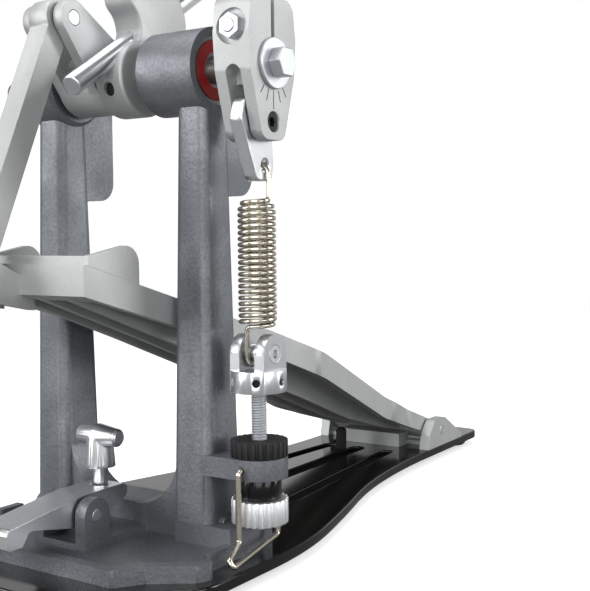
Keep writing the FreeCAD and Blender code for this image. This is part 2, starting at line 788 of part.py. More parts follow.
def build_spring_arm():
    right = [("%s*spring_arm_half" % x, "axle_height+%s*spring_arm_top" % z, "spring_arm_round")
             for x, z in spring_arm_shares]
    left = [("-%s*spring_arm_half" % x, "axle_height+%s*spring_arm_top" % z, "spring_arm_round")
            for x, z in spring_arm_shares]
    tail = [("spring_arm_tail_half", "axle_height-spring_arm_tail", "spring_arm_round"),
            ("-spring_arm_tail_half", "axle_height-spring_arm_tail", "spring_arm_round")]
    front = "(spring_arm_half-nut_recess)"
    blank = prism("spring_arm_blank", "XZ", right + tail + left[::-1], ARM_IN, "spring_arm_thick")
    piece("spring_arm", cut(
        "spring_arm", blank,
        cylinder("arm_axle_bore", "Y", ("0", ARM_IN + "-overrun/2", "axle_height"), "axle_radius+fit",
                 "spring_arm_thick+overrun"),
        box("arm_slit", ("-slit/2", ARM_IN + "-overrun/2", "axle_height"),
            ("slit", "spring_arm_thick+overrun", "spring_arm_top+overrun")),
        cylinder("arm_pinch_bore", "X", ("-spring_arm_half*2", "spring_y", "axle_height+pinch_rise"),
                 "pinch_radius+fit", "spring_arm_half*4"),
        cylinder("arm_pin_bore", "Y", ("0", ARM_IN + "-overrun/2", HANGER_Z), "hanger_pin_radius+fit",
                 "spring_arm_thick+overrun"),
        box("arm_fork",
            ("-spring_arm_half*2", "spring_y-fork_gap/2", "axle_height-spring_arm_tail-overrun/3"),
            ("spring_arm_half*4", "fork_gap", "spring_arm_tail-hanger_drop+fork_depth+overrun/3")),
        box("arm_fork_front", ("fork_front", "spring_y-fork_gap/2", HANGER_Z),
            ("spring_arm_half*2", "fork_gap", "hanger_drop-fork_front_drop")),
        cylinder("arm_fork_top", "X", ("fork_front", "spring_y", "axle_height-fork_front_drop"), "fork_gap/2",
                 "spring_arm_half*2"),
        cylinder("arm_nut_seat", "X", (front, "spring_y", "axle_height+pinch_rise"), "nut_recess_radius",
                 "spring_arm_half"),
        cylinder("arm_head_seat", "Y", ("0", ARM_OUT + "-hanger_pin_recess-hanger_head_tall", HANGER_Z),
                 "hanger_head_radius+clearance/2", "overrun"),
    ))
    head_low = ARM_OUT + "-hanger_pin_recess-hanger_head_tall"
    piece("hanger_pin", cut(
        "hanger_pin",
        fuse("hanger_pin_solid",
             cylinder("hanger_pin_shank", "Y", ("0", ARM_IN + "+hanger_pin_recess", HANGER_Z),
                      "hanger_pin_radius", "spring_arm_thick-hanger_pin_recess*2"),
             cylinder("hanger_pin_head", "Y", ("0", head_low, HANGER_Z), "hanger_head_radius",
                      "hanger_head_tall")),
        hexagon("hanger_pin_socket", "Y", ("0", head_low + "+hanger_head_tall/4", HANGER_Z), "hanger_socket",
                "overrun"),
    ))
    piece("pinch_bolt", fuse(
        "pinch_bolt",
        cylinder("pinch_shank", "X", ("-spring_arm_half", "spring_y", "axle_height+pinch_rise"),
                 "pinch_radius", "spring_arm_half*2-nut_recess+pinch_nut_tall"),
        cylinder("pinch_head", "X",
                 ("-spring_arm_half-pinch_head_tall", "spring_y", "axle_height+pinch_rise"),
                 "pinch_head_radius", "pinch_head_tall"),
    ))
    piece("pinch_nut", cut(
        "pinch_nut",
        hexagon("pinch_nut_body", "X", (front, "spring_y", "axle_height+pinch_rise"), "pinch_nut_flats",
                "pinch_nut_tall-clearance"),
        cylinder("pinch_nut_bore", "X", (front + "-overrun/2", "spring_y", "axle_height+pinch_rise"),
                 "pinch_radius+fit", "overrun"),
    ))


def build_hanger():
    corners = [("%s*hanger_width" % x, HANGER_Z + "+%s*hanger_length" % z, "hanger_round")
               for x, z in hanger_shares]
    blank = prism("hanger_blank", "XZ", corners, "spring_y-hanger_thick/2", "hanger_thick")
    piece("spring_hanger", cut(
        "spring_hanger", blank,
        cylinder("hanger_pin_hole", "Y", ("0", "spring_y-overrun/2", HANGER_Z), "hanger_pin_radius+fit*2",
                 "overrun"),
        cylinder("hanger_hook_hole", "Y",
                 ("-spring_bend", "spring_y-overrun/2", HANGER_Z + "-hook_hole_drop"),
                 "hook_hole_radius", "overrun"),
    ))


def spring_path():
    """Hook under the roller, coils upward, hook through the hanger's hole: one unbroken wire."""
    wire = amount("spring_wire")
    coil = amount("(spring_outer-spring_wire)/2")
    pitch = amount("spring_pitch")
    bend = amount("spring_bend")
    roller = amount("roller_radius+spring_wire/2+clearance")
    over = amount("hanger_thick/2+spring_wire/2+clearance")
    roller_z = amount("roller_height")
    low = amount("roller_height+hook_rise")
    up = Vector(0, 0, 1)
    stops = [
        (Vector(-roller, -bend, roller_z + wire), up * -1),
        (Vector(-roller, -bend, roller_z), up * -1),
        (Vector(roller, -bend, roller_z), up),
        (Vector(roller, -bend, low - bend), up),
        (Vector(roller, 0, low), Vector(0, 1, 0)),
    ]
    hook_z = amount(HANGER_Z + "-hook_hole_drop+clearance") - over
    coils = int((hook_z - low - amount("spring_bend+hook_straight")) / pitch - LEAD_TURNS)
    halves = list(range(1, 2 * coils + 2)) + [2 * coils + 1.5]
    for half in halves:
        angle = math.pi * half
        rise = pitch / (2 * math.pi)
        heading = Vector(-coil * math.sin(angle), coil * math.cos(angle), rise).normalize()
        stops.append((Vector(coil * math.cos(angle), coil * math.sin(angle), low + rise * angle), heading))
    top = low + pitch * (coils + LEAD_TURNS)
    stops += [
        (Vector(0, over, top), Vector(-1, 0, 0)),
        (Vector(-bend, over, top + bend), up),
        (Vector(-bend, over, hook_z), up),
        (Vector(-bend, -over, hook_z), up * -1),
        (Vector(-bend, -over, hook_z - wire), up * -1),
    ]
    edges = []
    for (start, heading), (end, leaving) in zip(stops, stops[1:]):
        edges += biarc(start, heading, end, leaving)
    path = Part.Wire(edges)
    path.translate(Vector(0, amount("spring_y"), 0))
    return path


def least_gap(path, wire):
    """Smallest free gap between stretches of the wire that are more than a half turn apart."""
    spots = []
    run = 0.0
    step = wire / 4
    for edge in path.OrderedEdges:
        count = max(2, int(edge.Length / step))
        for k in range(count):
            spots.append((run + edge.Length * k / count,
                          edge.getParameterByLength(edge.Length * k / count), edge))
        run += edge.Length
    points = [(along, edge.valueAt(param)) for along, param, edge in spots]
    reach = math.pi * 2 * wire
    window = int(amount("spring_outer") * math.pi * 2 / step)
    nearest = math.inf
    for i, (along, point) in enumerate(points):
        for other_along, other in points[i + 1:i + window]:
            if other_along - along > reach:
                nearest = min(nearest, point.distanceToPoint(other))
    return nearest - wire


def build_spring():
    path = spring_path()
    piece("spring", feature("spring", tube(path, amount("spring_wire/2"))))
    print("spring: least gap to itself %.2f mm" % least_gap(path, amount("spring_wire")))


def fluted(name, radius, tall, low, bore):
    """A knurled ring nut: a disc with round flutes down its rim and a bore for the screw."""
    grooves = []
    for i in range(FLUTES):
        angle = 360.0 * i / FLUTES
        grooves.append(cylinder(
            "%s_flute_%d" % (name, i), "Z",
            ("(%s)*cos(%s)" % (radius, angle), "spring_y+(%s)*sin(%s)" % (radius, angle),
             low + "-overrun/2"),
            "flute_radius", "overrun*2"))
    return cut(
        name,
        cylinder(name + "_disc", "Z", ("0", "spring_y", low), radius, tall),
        cylinder(name + "_bore", "Z", ("0", "spring_y", low + "-overrun/2"), bore, "overrun*2"),
        *grooves)


def build_tension():
    flange = cylinder("clevis_flange", "Z", ("0", "spring_y", CLEVIS_LOW), "flange_radius", "flange_tall")
    cheeks = []
    for name, low in (("left", "spring_y+clevis_gap/2"), ("right", "spring_y-clevis_gap/2-clevis_cheek")):
        cheeks.append(cylinder("clevis_eye_" + name, "Y", ("0", low, "roller_height"), "clevis_cheek_radius",
                               "clevis_cheek"))
        cheeks.append(box("clevis_leg_" + name, ("-clevis_cheek_radius", low, CLEVIS_LOW),
                          ("clevis_cheek_radius*2", "clevis_cheek", "clevis_drop")))
    radial = []
    for i in range(FLANGE_HOLES):
        hole = cylinder("flange_hole_%d" % i, "X", ("0", "spring_y", CLEVIS_LOW + "+flange_tall/2"),
                        "flange_hole",
                        "overrun")
        turn = FreeCAD.Rotation(Vector(0, 0, 1), 360.0 * (i + 0.5) / FLANGE_HOLES)
        hole.Placement = FreeCAD.Placement(Vector(), turn * TURNS["X"])
        place(hole, "(rod_radius+flange_hole*2)*cos(%s)" % (360.0 * (i + 0.5) / FLANGE_HOLES),
              "spring_y+(rod_radius+flange_hole*2)*sin(%s)" % (360.0 * (i + 0.5) / FLANGE_HOLES),
              CLEVIS_LOW + "+flange_tall/2")
        radial.append(hole)
    out = "clevis_gap/2+clevis_cheek"
    piece("tension_clevis", cut(
        "tension_clevis", fuse("clevis_solid", flange, *cheeks),
        cylinder("clevis_screw_hole", "Y", ("0", "spring_y-overrun", "roller_height"),
                 "clevis_screw_radius+fit",
                 "overrun*2"),
        cylinder("clevis_head_seat", "Y", ("0", "spring_y+(%s)-clevis_head_tall" % out, "roller_height"),
                 "clevis_head_radius+fit", "overrun"),
        cylinder("clevis_rod_hole", "Z", ("0", "spring_y", CLEVIS_LOW + "-overrun/2"), "rod_radius+fit",
                 "flange_tall/2+overrun/2"),
        *radial))
    piece("clevis_screw", fuse(
        "clevis_screw",
        cylinder("clevis_shank", "Y", ("0", "spring_y-(%s)" % out, "roller_height"), "clevis_screw_radius",
                 "(%s)*2" % out),
        cylinder("clevis_head", "Y", ("0", "spring_y+(%s)-clevis_head_tall" % out, "roller_height"),
                 "clevis_head_radius", "clevis_head_tall"),
    ))
    piece("roller", cut(
        "roller",
        cylinder("roller_body", "Y", ("0", "spring_y-roller_half", "roller_height"), "roller_radius",
                 "roller_half*2"),
        cylinder("roller_bore", "Y", ("0", "spring_y-overrun", "roller_height"), "clevis_screw_radius+fit",
                 "overrun*2"),
    ))
    piece("tension_rod", cylinder("tension_rod", "Z", ("0", "spring_y", "rod_low"), "rod_radius",
                                  CLEVIS_LOW + "+flange_tall/2-rod_low"))
    piece("lock_nut", fluted("lock_nut", "lock_nut_radius", "lock_nut_tall", EAR_TOP, "rod_radius+fit"))
    piece("nut_sleeve", cut(
        "nut_sleeve",
        cylinder("sleeve_body", "Z", ("0", "spring_y", "ear_low-sleeve_tall"), "sleeve_radius",
                 "sleeve_tall"),
        cylinder("sleeve_bore", "Z", ("0", "spring_y", "ear_low-overrun"), "rod_radius+clearance",
                 "overrun*2"),
    ))
    piece("tension_nut", fluted("tension_nut", "tension_nut_radius", "tension_nut_tall",
                                "ear_low-sleeve_tall-tension_nut_gap-tension_nut_tall", "rod_radius+fit"))


def build_bail():
    """A bent wire whose ends sit in the ear; its foot runs under the nut to a tip at the front."""
    pivot_y = amount("spring_y+bail_pivot_y")
    pivot_z = amount("ear_low+ear_thick/2")
    seat = amount("ear_radius-bail_seat")
    half = amount("bail_half")
    path = bent_path([
        Vector(seat, pivot_y, pivot_z),
        Vector(half, pivot_y, pivot_z),
        Vector(half, pivot_y, pivot_z - amount("bail_knee_drop")),
        Vector(amount("bail_tip_front"), amount("spring_y+bail_tip_out"), pivot_z - amount("bail_tip_drop")),
        Vector(-half, pivot_y, pivot_z - amount("bail_back_drop")),
        Vector(-half, pivot_y, pivot_z),
        Vector(-seat, pivot_y, pivot_z),
    ], amount("bail_bend"))
    piece("wire_bail", feature("wire_bail", tube(path, amount("bail_wire/2"))))


def build_heel():
    floor = prism("heel_floor_plate", "XY", [
        ("-heel_x-heel_back", "-heel_half-cheek_thick", "base_round"),
        ("-heel_x+cheek_radius", "-heel_half-cheek_thick", "base_round"),
        ("-heel_x+cheek_radius", "heel_half+cheek_thick", "base_round"),
        ("-heel_x-heel_back", "heel_half+cheek_thick", "base_round"),
    ], "foot_height+plate_thick", "heel_floor")
    cheeks = []
    for name, low, front in (("left", "heel_half+clearance", "heel_front"),
                             ("right", "-heel_half-cheek_thick", "heel_front*%s" % short_cheek_share)):
        cheeks.append(prism("cheek_" + name, "XZ", [
            ("-heel_x+" + front, "foot_height+plate_thick"),
            ("-heel_x+%s-base_round/2" % front, "heel_z", "base_round"),
            ("-heel_x+%s/2" % front, "heel_z+cheek_radius", "base_round"),
            ("-heel_x-cheek_radius/2", "heel_z+cheek_radius", "cheek_radius"),
            ("-heel_x-heel_back", "foot_height+plate_thick+heel_floor", "base_round/2"),
            ("-heel_x-heel_back", "foot_height+plate_thick"),
        ], low, "cheek_thick-clearance"))
    riser = box("heel_riser_block",
                ("-heel_x+heel_front*%s" % riser_start_share, "-heel_riser_half", "foot_height+plate_thick"),
                ("heel_front*(1-%s)" % riser_start_share, "heel_riser_half*2", "heel_riser"))
    tools = [cylinder("heel_pin_bore", "Y", ("-heel_x", "-heel_half-overrun", "heel_z"),
                      "heel_pin_radius+fit",
                      "heel_half*2+overrun*2")]
    tools += holes("heel_bore", heel_spots(), "screw_radius+fit")
    piece("heel_block", cut("heel_block", fuse("heel_solid", floor, riser, *cheeks), *tools))
    piece("heel_pin", cylinder("heel_pin", "Y", ("-heel_x", "-heel_half-cheek_thick", "heel_z"),
                               "heel_pin_radius", "heel_half*2+cheek_thick*2"))
    screws = []
    for i, (x, y) in enumerate(heel_spots()):
        screws.append(fuse(
            "heel_screw_%d" % i,
            cylinder("heel_screw_head_%d" % i, "Z", (x, y, "foot_height+plate_thick+heel_floor"),
                     "screw_head_radius",
                     "screw_head_tall/2"),
            cylinder("heel_screw_shank_%d" % i, "Z", (x, y, "foot_height"), "screw_radius",
                     "plate_thick+heel_floor"),
        ))
    piece("heel_screws", group("heel_screws", *screws))
    piece("stop_bumper", turned("stop_bumper", "Z", ("-bumper_x", "bumper_y", "0"), (
        ("0", "foot_height+plate_thick"),
        ("bumper_radius", "foot_height+plate_thick"),
        ("bumper_radius", "foot_height+plate_thick+bumper_tall-foot_edge"),
        ("bumper_radius-foot_edge", "foot_height+plate_thick+bumper_tall"),
        ("0", "foot_height+plate_thick+bumper_tall"),
    )))


def board_point(x, z, drop=""):
    return ("-heel_x+%s*%s" % (x, BOARD_REACH), HEEL_TOP + "+%s*board_rise%s" % (z, drop), "board_bend")


def board_profile(drop, low):
    top = [board_point(x, z, drop) for x, z in board_top_shares]
    top[0] = top[0][:2]
    top[-1] = top[-1][:2]
    bottom = [board_point(x, z, low) for x, z in board_low_shares]
    bottom[0] = bottom[0][:2]
    bottom[-1] = bottom[-1][:2]
    return top + bottom


def board_plan(inset, ends):
    left = [("-heel_x+%s*%s" % (x, BOARD_REACH), "%s*board_toe_half%s" % (y, inset), "board_plan_round")
            for x, y in board_plan_shares]
    left[0] = ("-heel_x+%s*%s%s" % (board_plan_shares[0][0], BOARD_REACH, ends[0]), left[0][1])
    left[-1] = ("-heel_x+%s*%s%s" % (board_plan_shares[-1][0], BOARD_REACH, ends[1]), left[-1][1])
    right = [(corner[0], "-(%s)" % corner[1]) + corner[2:] for corner in left]
    return left + right[::-1]


def build_board():
    reach = "board_wide_half*3"
    side = prism("board_side", "XZ", board_profile("", ""), "-(%s)/2" % reach, reach)
    plan = prism("board_plan", "XY", board_plan("", ("", "-heel_barrel_radius")), "0", "axle_height")
    blank = common("board_blank", side, plan)
    hollow_side = prism("board_hollow_side", "XZ", board_profile("-board_skin", "-overrun"),
                        "-(%s)/2" % reach,
                        reach)
    hollow_plan = prism("board_hollow_plan", "XY",
                        board_plan("-board_rail", ("-board_rail*2", "+heel_barrel_radius*2")),
                        "-overrun", "axle_height+overrun")
    hollow = common("board_hollow", hollow_side, hollow_plan)
    shell = cut("board_shell", blank, hollow)
    ribs = [
        box("rib_%d" % i, ("-heel_x", "board_toe_half*%s-board_rib/2" % share, "0"),
            (BOARD_REACH, "board_rib", "axle_height"))
        for i, share in enumerate(rib_shares)
    ]
    rib_side = prism("rib_side", "XZ",
                     [board_point(x, z)[:2] for x, z in board_top_shares + rib_low_shares],
                     "-(%s)/2" % reach, reach)
    ribbing = common("board_ribs", rib_side, fuse("rib_bars", *ribs))
    barrel = cylinder("heel_barrel", "Y", ("-heel_x", "-heel_half+clearance", "heel_z"),
                      "heel_barrel_radius",
                      "heel_half*2-clearance*2")
    lugs = []
    for name, low in (("left", "-link_y+%s" % FORK_IN), ("right", "-link_y-%s" % FORK_OUT)):
        corners = [("toe_x+%s*toe_lug_radius" % x, TOE_Z + "+%s*toe_lug_radius" % z) for x, z in lug_shares]
        lugs.append(prism("toe_lug_" + name, "XZ", corners, low, "cheek_wall"))
        lugs.append(cylinder("toe_eye_" + name, "Y", ("toe_x", low, TOE_Z), "toe_lug_radius",
                             "cheek_wall"))
    whole = fuse("board_whole", shell, ribbing, barrel, *lugs)
    piece("footboard", cut(
        "footboard", whole,
        cylinder("board_heel_bore", "Y", ("-heel_x", "-heel_half-overrun", "heel_z"), "heel_pin_radius+fit",
                 "heel_half*2+overrun*2"),
        cylinder("board_toe_bore", "Y", ("toe_x", "-link_y-overrun", TOE_Z), "toe_pin_radius+fit",
                 "overrun*2"),
    ))
    piece("toe_pin", cylinder("toe_pin", "Y", ("toe_x", "-link_y-%s-pin_overhang" % FORK_OUT, TOE_Z),
                              "toe_pin_radius", FORK_OUT + "*2+pin_overhang*2"))


def board_top_at(x):
    """Height of the board's straight toe stretch above the floor at a forward place."""
    (start, low), (end, high) = board_top_shares[-2:]
    return (HEEL_TOP + "+board_rise*(%s+((%s)+heel_x-%s*%s)*%s/((%s)*%s))"
            % (low, x, start, BOARD_REACH, high - low, end - start, BOARD_REACH))


def build_toe_stop():
    """A bent plate: two side fins, highest at the back, joined by a wall across the toe."""
    front = "-heel_x+%s-stop_gap" % BOARD_REACH
    back = front + "-stop_back"
    fins = []
    for name, low in (("left", "stop_out-stop_wall"), ("right", "-stop_out")):
        fins.append(prism("stop_fin_" + name, "XZ", [
            (back, board_top_at(back)),
            (front, board_top_at(front)),
            (front, board_top_at(front) + "+stop_fall"),
            (back, board_top_at(back) + "+stop_rise", "stop_round"),
        ], low, "stop_wall"))
    wall = prism("stop_front", "XZ", [
        (front + "-stop_wall", board_top_at(front + "-stop_wall")),
        (front, board_top_at(front)),
        (front, board_top_at(front) + "+stop_fall"),
        (front + "-stop_wall", board_top_at(front) + "+stop_fall"),
    ], "-stop_out", "stop_out*2")
    piece("toe_stop", fuse("toe_stop", wall, *fins))


def build_link():
    length = "sqrt((%s-toe_x)^2+(%s-%s)^2)" % (EYE_X, PIN_Z, TOE_Z)
    along_x = "(%s-toe_x)/%s" % (EYE_X, length)
    along_z = "(%s-%s)/%s" % (PIN_Z, TOE_Z, length)
    bar = prism("link_bar", "XZ", [
        ("toe_x+link_half*%s" % along_z, TOE_Z + "-link_half*%s" % along_x),
        ("%s+link_half*%s" % (EYE_X, along_z), "%s-link_half*%s" % (PIN_Z, along_x)),
        ("%s-link_half*%s" % (EYE_X, along_z), "%s+link_half*%s" % (PIN_Z, along_x)),
        ("toe_x-link_half*%s" % along_z, TOE_Z + "+link_half*%s" % along_x),
    ], "-link_y-link_thick/2", "link_thick")
    low = "-link_y-link_thick/2"
    eyes = [
        cylinder("link_low_eye", "Y", ("toe_x", low, TOE_Z), "toe_lug_radius", "link_thick"),
        cylinder("link_top_eye", "Y", (EYE_X, low, PIN_Z), "link_eye_radius", "link_thick"),
    ]
    piece("drive_link", cut(
        "drive_link", fuse("link_solid", bar, *eyes),
        cylinder("link_low_bore", "Y", ("toe_x", "-link_y-overrun", TOE_Z), "toe_pin_radius+fit",
                 "overrun*2"),
        cylinder("link_top_bore", "Y", (EYE_X, "-link_y-overrun", PIN_Z), "arm_pin_radius+eye_slack",
                 "overrun*2"),
    ))


def build_drive_arm():
    cheeks = []
    for name, low in (("left", "-link_y+%s" % FORK_IN), ("right", "-link_y-%s" % FORK_OUT)):
        cheeks.append(prism("arm_cheek_" + name, "XZ", [
            ("arm_hub_radius*sin(arm_angle)", "axle_height-arm_hub_radius*cos(arm_angle)"),
            (PIN_X + "+arm_end_radius*sin(arm_angle)", PIN_Z + "-arm_end_radius*cos(arm_angle)"),
            (PIN_X + "-arm_end_radius*sin(arm_angle)", PIN_Z + "+arm_end_radius*cos(arm_angle)"),
            ("-arm_hub_radius*sin(arm_angle)", "axle_height+arm_hub_radius*cos(arm_angle)"),
        ], low, "cheek_wall"))
        cheeks.append(cylinder("arm_eye_" + name, "Y", (PIN_X, low, PIN_Z), "arm_end_radius", "cheek_wall"))
    hub = cylinder("arm_hub", "Y", ("0", "-link_y-%s" % FORK_OUT, "axle_height"), "arm_hub_radius",
                   FORK_OUT + "*2")
    piece("drive_arm", cut(
        "drive_arm", fuse("arm_solid", hub, *cheeks),
        hexagon("arm_hex_bore", "Y", ("0", "-link_y-overrun", "axle_height"), "hex_flats+fit*2",
                "overrun*2"),
        cylinder("arm_end_bore", "Y", (PIN_X, "-link_y-overrun", PIN_Z), "arm_pin_radius+fit", "overrun*2"),
    ))
    piece("arm_pin", cylinder("arm_pin", "Y", (PIN_X, "-link_y-%s" % FORK_OUT, PIN_Z), "arm_pin_radius",
                              FORK_OUT + "*2"))


def beater_place(along, across="beater_offset"):
    """A place in the beater's plane: along the rod from its nearest point to the axle, and out."""
    return ("(%s)*cos(beater_lean)-(%s)*sin(beater_lean)" % (across, along), "(hub_left-hub_right)/2",
            "axle_height+(%s)*sin(beater_lean)+(%s)*cos(beater_lean)" % (across, along))


def build_beater():
    ring = cylinder("hub_ring", "Y", ("0", "-hub_right", "axle_height"), "hub_radius", "hub_left+hub_right")
    boss = slanted("hub_boss", beater_place("-boss_half"), "-beater_lean", "boss_radius", "boss_half*2")
    trim = box("hub_trim", ("-overrun*2", "-hub_right", "axle_height-overrun*2"),
               ("overrun*4", "hub_left+hub_right", "overrun*4"))
    screw_y = "(hub_left-hub_right)/2"
    depth = "hub_radius-set_screw_length"
    piece("beater_hub", cut(
        "beater_hub", fuse("hub_solid", ring, common("hub_boss_trimmed", boss, trim)),
        slanted("hub_rod_bore", beater_place("-overrun*2"), "-beater_lean", "beater_rod_radius+fit",
                "overrun*4"),
        hexagon("hub_hex_bore", "Y", ("0", "-overrun", "axle_height"), "hex_flats+fit*2", "overrun*2"),
        cylinder("hub_screw_bore", "X", (depth, screw_y, "axle_height-hub_radius/3"), "set_screw_radius+fit",
                 "overrun"),
    ))
    piece("hub_screw", cylinder("hub_screw", "X", (depth, screw_y, "axle_height-hub_radius/3"),
                                "set_screw_radius", "set_screw_length-side_gap*2"))
    piece("beater_rod", slanted("beater_rod", beater_place("-beater_rod_below"), "-beater_lean",
                                "beater_rod_radius", "beater_rod_below+beater_rod_above"))
    puck = slanted("head_puck", beater_place("beater_rod_above", "beater_offset-head_half"),
                   "(90-beater_lean)", "head_radius", "head_half*2")
    doc.recompute()
    rims = [(i, amount("head_edge"), amount("head_edge")) for i, edge in enumerate(puck.Shape.Edges, 1)
            if isinstance(edge.Curve, Part.Circle)]
    soft = doc.addObject("Part::Fillet", "head_soft")
    soft.Base = puck
    soft.Edges = rims
    piece("beater_head", cut(
        "beater_head", soft,
        slanted("head_bore", beater_place("0"), "-beater_lean", "beater_rod_radius+fit", "beater_rod_above"),
    ))


def build_clamp():
    piece("clamp_pin", cylinder("clamp_pin", "Y", ("clamp_x", "clamp_y-jaw_half-side_gap-clamp_lug_thick",
                                                   "clamp_z"),
                                "clamp_pin_radius", "jaw_half*2+side_gap*2+clamp_lug_thick*2"))
    lever = prism("jaw_lever", "XZ", [
        ("jaw_tail", "clamp_z+jaw_thick/4", "jaw_round"),
        ("clamp_x", "clamp_z-jaw_thick*0.8"),
        ("jaw_nose-jaw_thick*1.5", "clamp_z", "jaw_round"),
        ("jaw_nose-jaw_thick", "clamp_z-jaw_tip", "jaw_round/2"),
        ("jaw_nose", "clamp_z-jaw_tip", "jaw_round/2"),
        ("jaw_nose", "clamp_z+jaw_thick/3", "jaw_round"),
        ("clamp_x", "clamp_z+jaw_thick"),
        ("jaw_tail", "clamp_z+jaw_thick", "jaw_round"),
    ], "clamp_y-jaw_half", "jaw_half*2")
    piece("clamp_jaw", cut(
        "clamp_jaw", lever,
        cylinder("jaw_pin_bore", "Y", ("clamp_x", "clamp_y-overrun", "clamp_z"), "clamp_pin_radius+fit",
                 "overrun*2"),
        cylinder("jaw_bolt_bore", "Z", ("wing_x", "clamp_y", "0"), "wing_bolt_radius+clearance*3",
                 "overrun*2"),
    ))
    wing = turned("wing_bar", "Y", ("wing_x", "clamp_y", "wing_hub_low+wing_hub_tall"), (
        ("0", "-wing_half"),
        ("wing_thick/2-side_gap", "-wing_half"),
        ("wing_thick/2", "-wing_half+side_gap"),
        ("wing_tall/2", "0"),
        ("wing_thick/2", "wing_half-side_gap"),
        ("wing_thick/2-side_gap", "wing_half"),
        ("0", "wing_half"),
    ))
    hub = turned("wing_hub", "Z", ("wing_x", "clamp_y", "0"), (
        ("0", "recess_floor+side_gap/4"),
        ("wing_bolt_radius", "recess_floor+side_gap/4"),
        ("wing_bolt_radius", "wing_hub_low"),
        ("wing_hub_radius", "wing_hub_low"),
        ("wing_hub_radius-side_gap", "wing_hub_low+wing_hub_tall"),
        ("0", "wing_hub_low+wing_hub_tall"),
    ))
    piece("wing_bolt", fuse("wing_bolt", wing, hub))


build_base()
build_pedestal()
build_bearings()
build_axle()
build_spring_arm()
build_hanger()
build_spring()
build_tension()
build_bail()
build_heel()
build_board()
build_toe_stop()
build_link()
build_drive_arm()
build_beater()
build_clamp()
doc.recompute()

failed = [item.Name for item in doc.Objects if "Invalid" in item.State or "Error" in item.State]
unsound = [label for label, item in pieces.items() if item.Shape.isNull() or not item.Shape.isValid()]
if failed or unsound:
    raise RuntimeError("failed features %s, unsound pieces %s" % (failed, unsound))

os.makedirs("parts", exist_ok=True)
for label, item in pieces.items():
    item.Shape.exportStep("parts/%s.step" % label)
    print("%-16s solids %d  volume %10.1f" % (label, len(item.Shape.Solids), item.Shape.Volume))
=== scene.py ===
# %% [markdown]
# # A bass drum pedal, dressed around its CAD frame
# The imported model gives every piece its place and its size. This lesson adds what a plain solid
# can't show: cast grain, plating, wound wire, a cut thread, socket screws and pressed felt. Sizes
# are written in millimetres and turned into metres by one factor, because Blender works in metres.

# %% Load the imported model
import math

import bmesh
import bpy
from mathutils import Matrix, Quaternion, Vector, noise
from mathutils.bvhtree import BVHTree


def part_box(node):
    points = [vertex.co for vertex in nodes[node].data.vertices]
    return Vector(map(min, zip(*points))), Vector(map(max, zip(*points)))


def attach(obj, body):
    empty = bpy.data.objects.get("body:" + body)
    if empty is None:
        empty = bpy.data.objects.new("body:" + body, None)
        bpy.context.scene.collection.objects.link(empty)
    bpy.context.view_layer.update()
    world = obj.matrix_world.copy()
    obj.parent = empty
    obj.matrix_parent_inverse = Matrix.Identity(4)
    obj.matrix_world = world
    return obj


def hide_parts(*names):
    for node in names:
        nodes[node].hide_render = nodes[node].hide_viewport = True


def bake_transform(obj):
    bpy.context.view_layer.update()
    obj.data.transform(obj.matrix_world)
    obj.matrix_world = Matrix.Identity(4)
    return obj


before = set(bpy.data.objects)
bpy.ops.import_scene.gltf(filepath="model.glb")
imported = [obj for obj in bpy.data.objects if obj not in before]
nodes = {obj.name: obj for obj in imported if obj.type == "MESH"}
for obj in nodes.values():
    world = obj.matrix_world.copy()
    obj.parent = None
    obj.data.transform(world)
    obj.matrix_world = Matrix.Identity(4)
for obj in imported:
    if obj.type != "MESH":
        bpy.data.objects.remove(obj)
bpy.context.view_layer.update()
MM = 0.001


def middle(node):
    """Centre of a node's box at rest."""
    low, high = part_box(node)
    return (low + high) / 2


def add_to_scene(name, data):
    item = bpy.data.objects.new(name, data)
    bpy.context.scene.collection.objects.link(item)
    return item


print("nodes loaded:", len(nodes))

# %% [markdown]
# ## The camera
# The photograph was taken from the drum's side, low and a little to the drummer's left. The camera
# was fitted to edges whose places are known: the axle, the post, the spring and the floor plate.
# Its place, heading and focal length are kept here as plain values, so the render can be laid
# over the photograph.

# %% Set the camera
PHOTO_WIDTH = 590
FOCAL_PIXELS = 1000
SENSOR_WIDTH = 36.0
STANDPOINT = (0.30308, 0.27532, 0.12813)
HEADING = math.radians(33.0)
DOWN = math.radians(3.462)
ROLL = math.radians(-0.5)
camera_data = bpy.data.cameras.new("photo_camera")
camera_data.sensor_width = SENSOR_WIDTH
camera_data.lens = FOCAL_PIXELS / PHOTO_WIDTH * SENSOR_WIDTH
camera_data.clip_start = 0.01
camera = add_to_scene("photo_camera", camera_data)
camera.location = STANDPOINT
look = Vector((-math.cos(HEADING) * math.cos(DOWN), -math.sin(HEADING) * math.cos(DOWN),
               -math.sin(DOWN)))
turn = look.to_track_quat("-Z", "Y") @ Quaternion((0, 0, 1), ROLL)
camera.rotation_euler = turn.to_euler()
bpy.context.scene.camera = camera
print("lens %.1f mm, %.0f mm from the origin" % (camera_data.lens, camera.location.length / MM))

# %% [markdown]
# ## Floor and studio light
# A product table is a pale floor that bends up into a backdrop. A plane with a bent edge would do
# for one view. This pedal is looked at from all sides, so the profile is spun into a round dish.

# %% Lay the floor
FLOOR_REACH = 1.6
FLOOR_BEND = 0.5
FLOOR_RISE = 0.5
FLOOR_DROP = 0.0002
FLOOR_STEPS = 14
FLOOR_SIDES = 64
SAME_POINT = 1e-6


def keep_mesh(form, name):
    """Turn a form into a mesh and free it."""
    mesh = bpy.data.meshes.new(name)
    form.to_mesh(mesh)
    form.free()
    return mesh


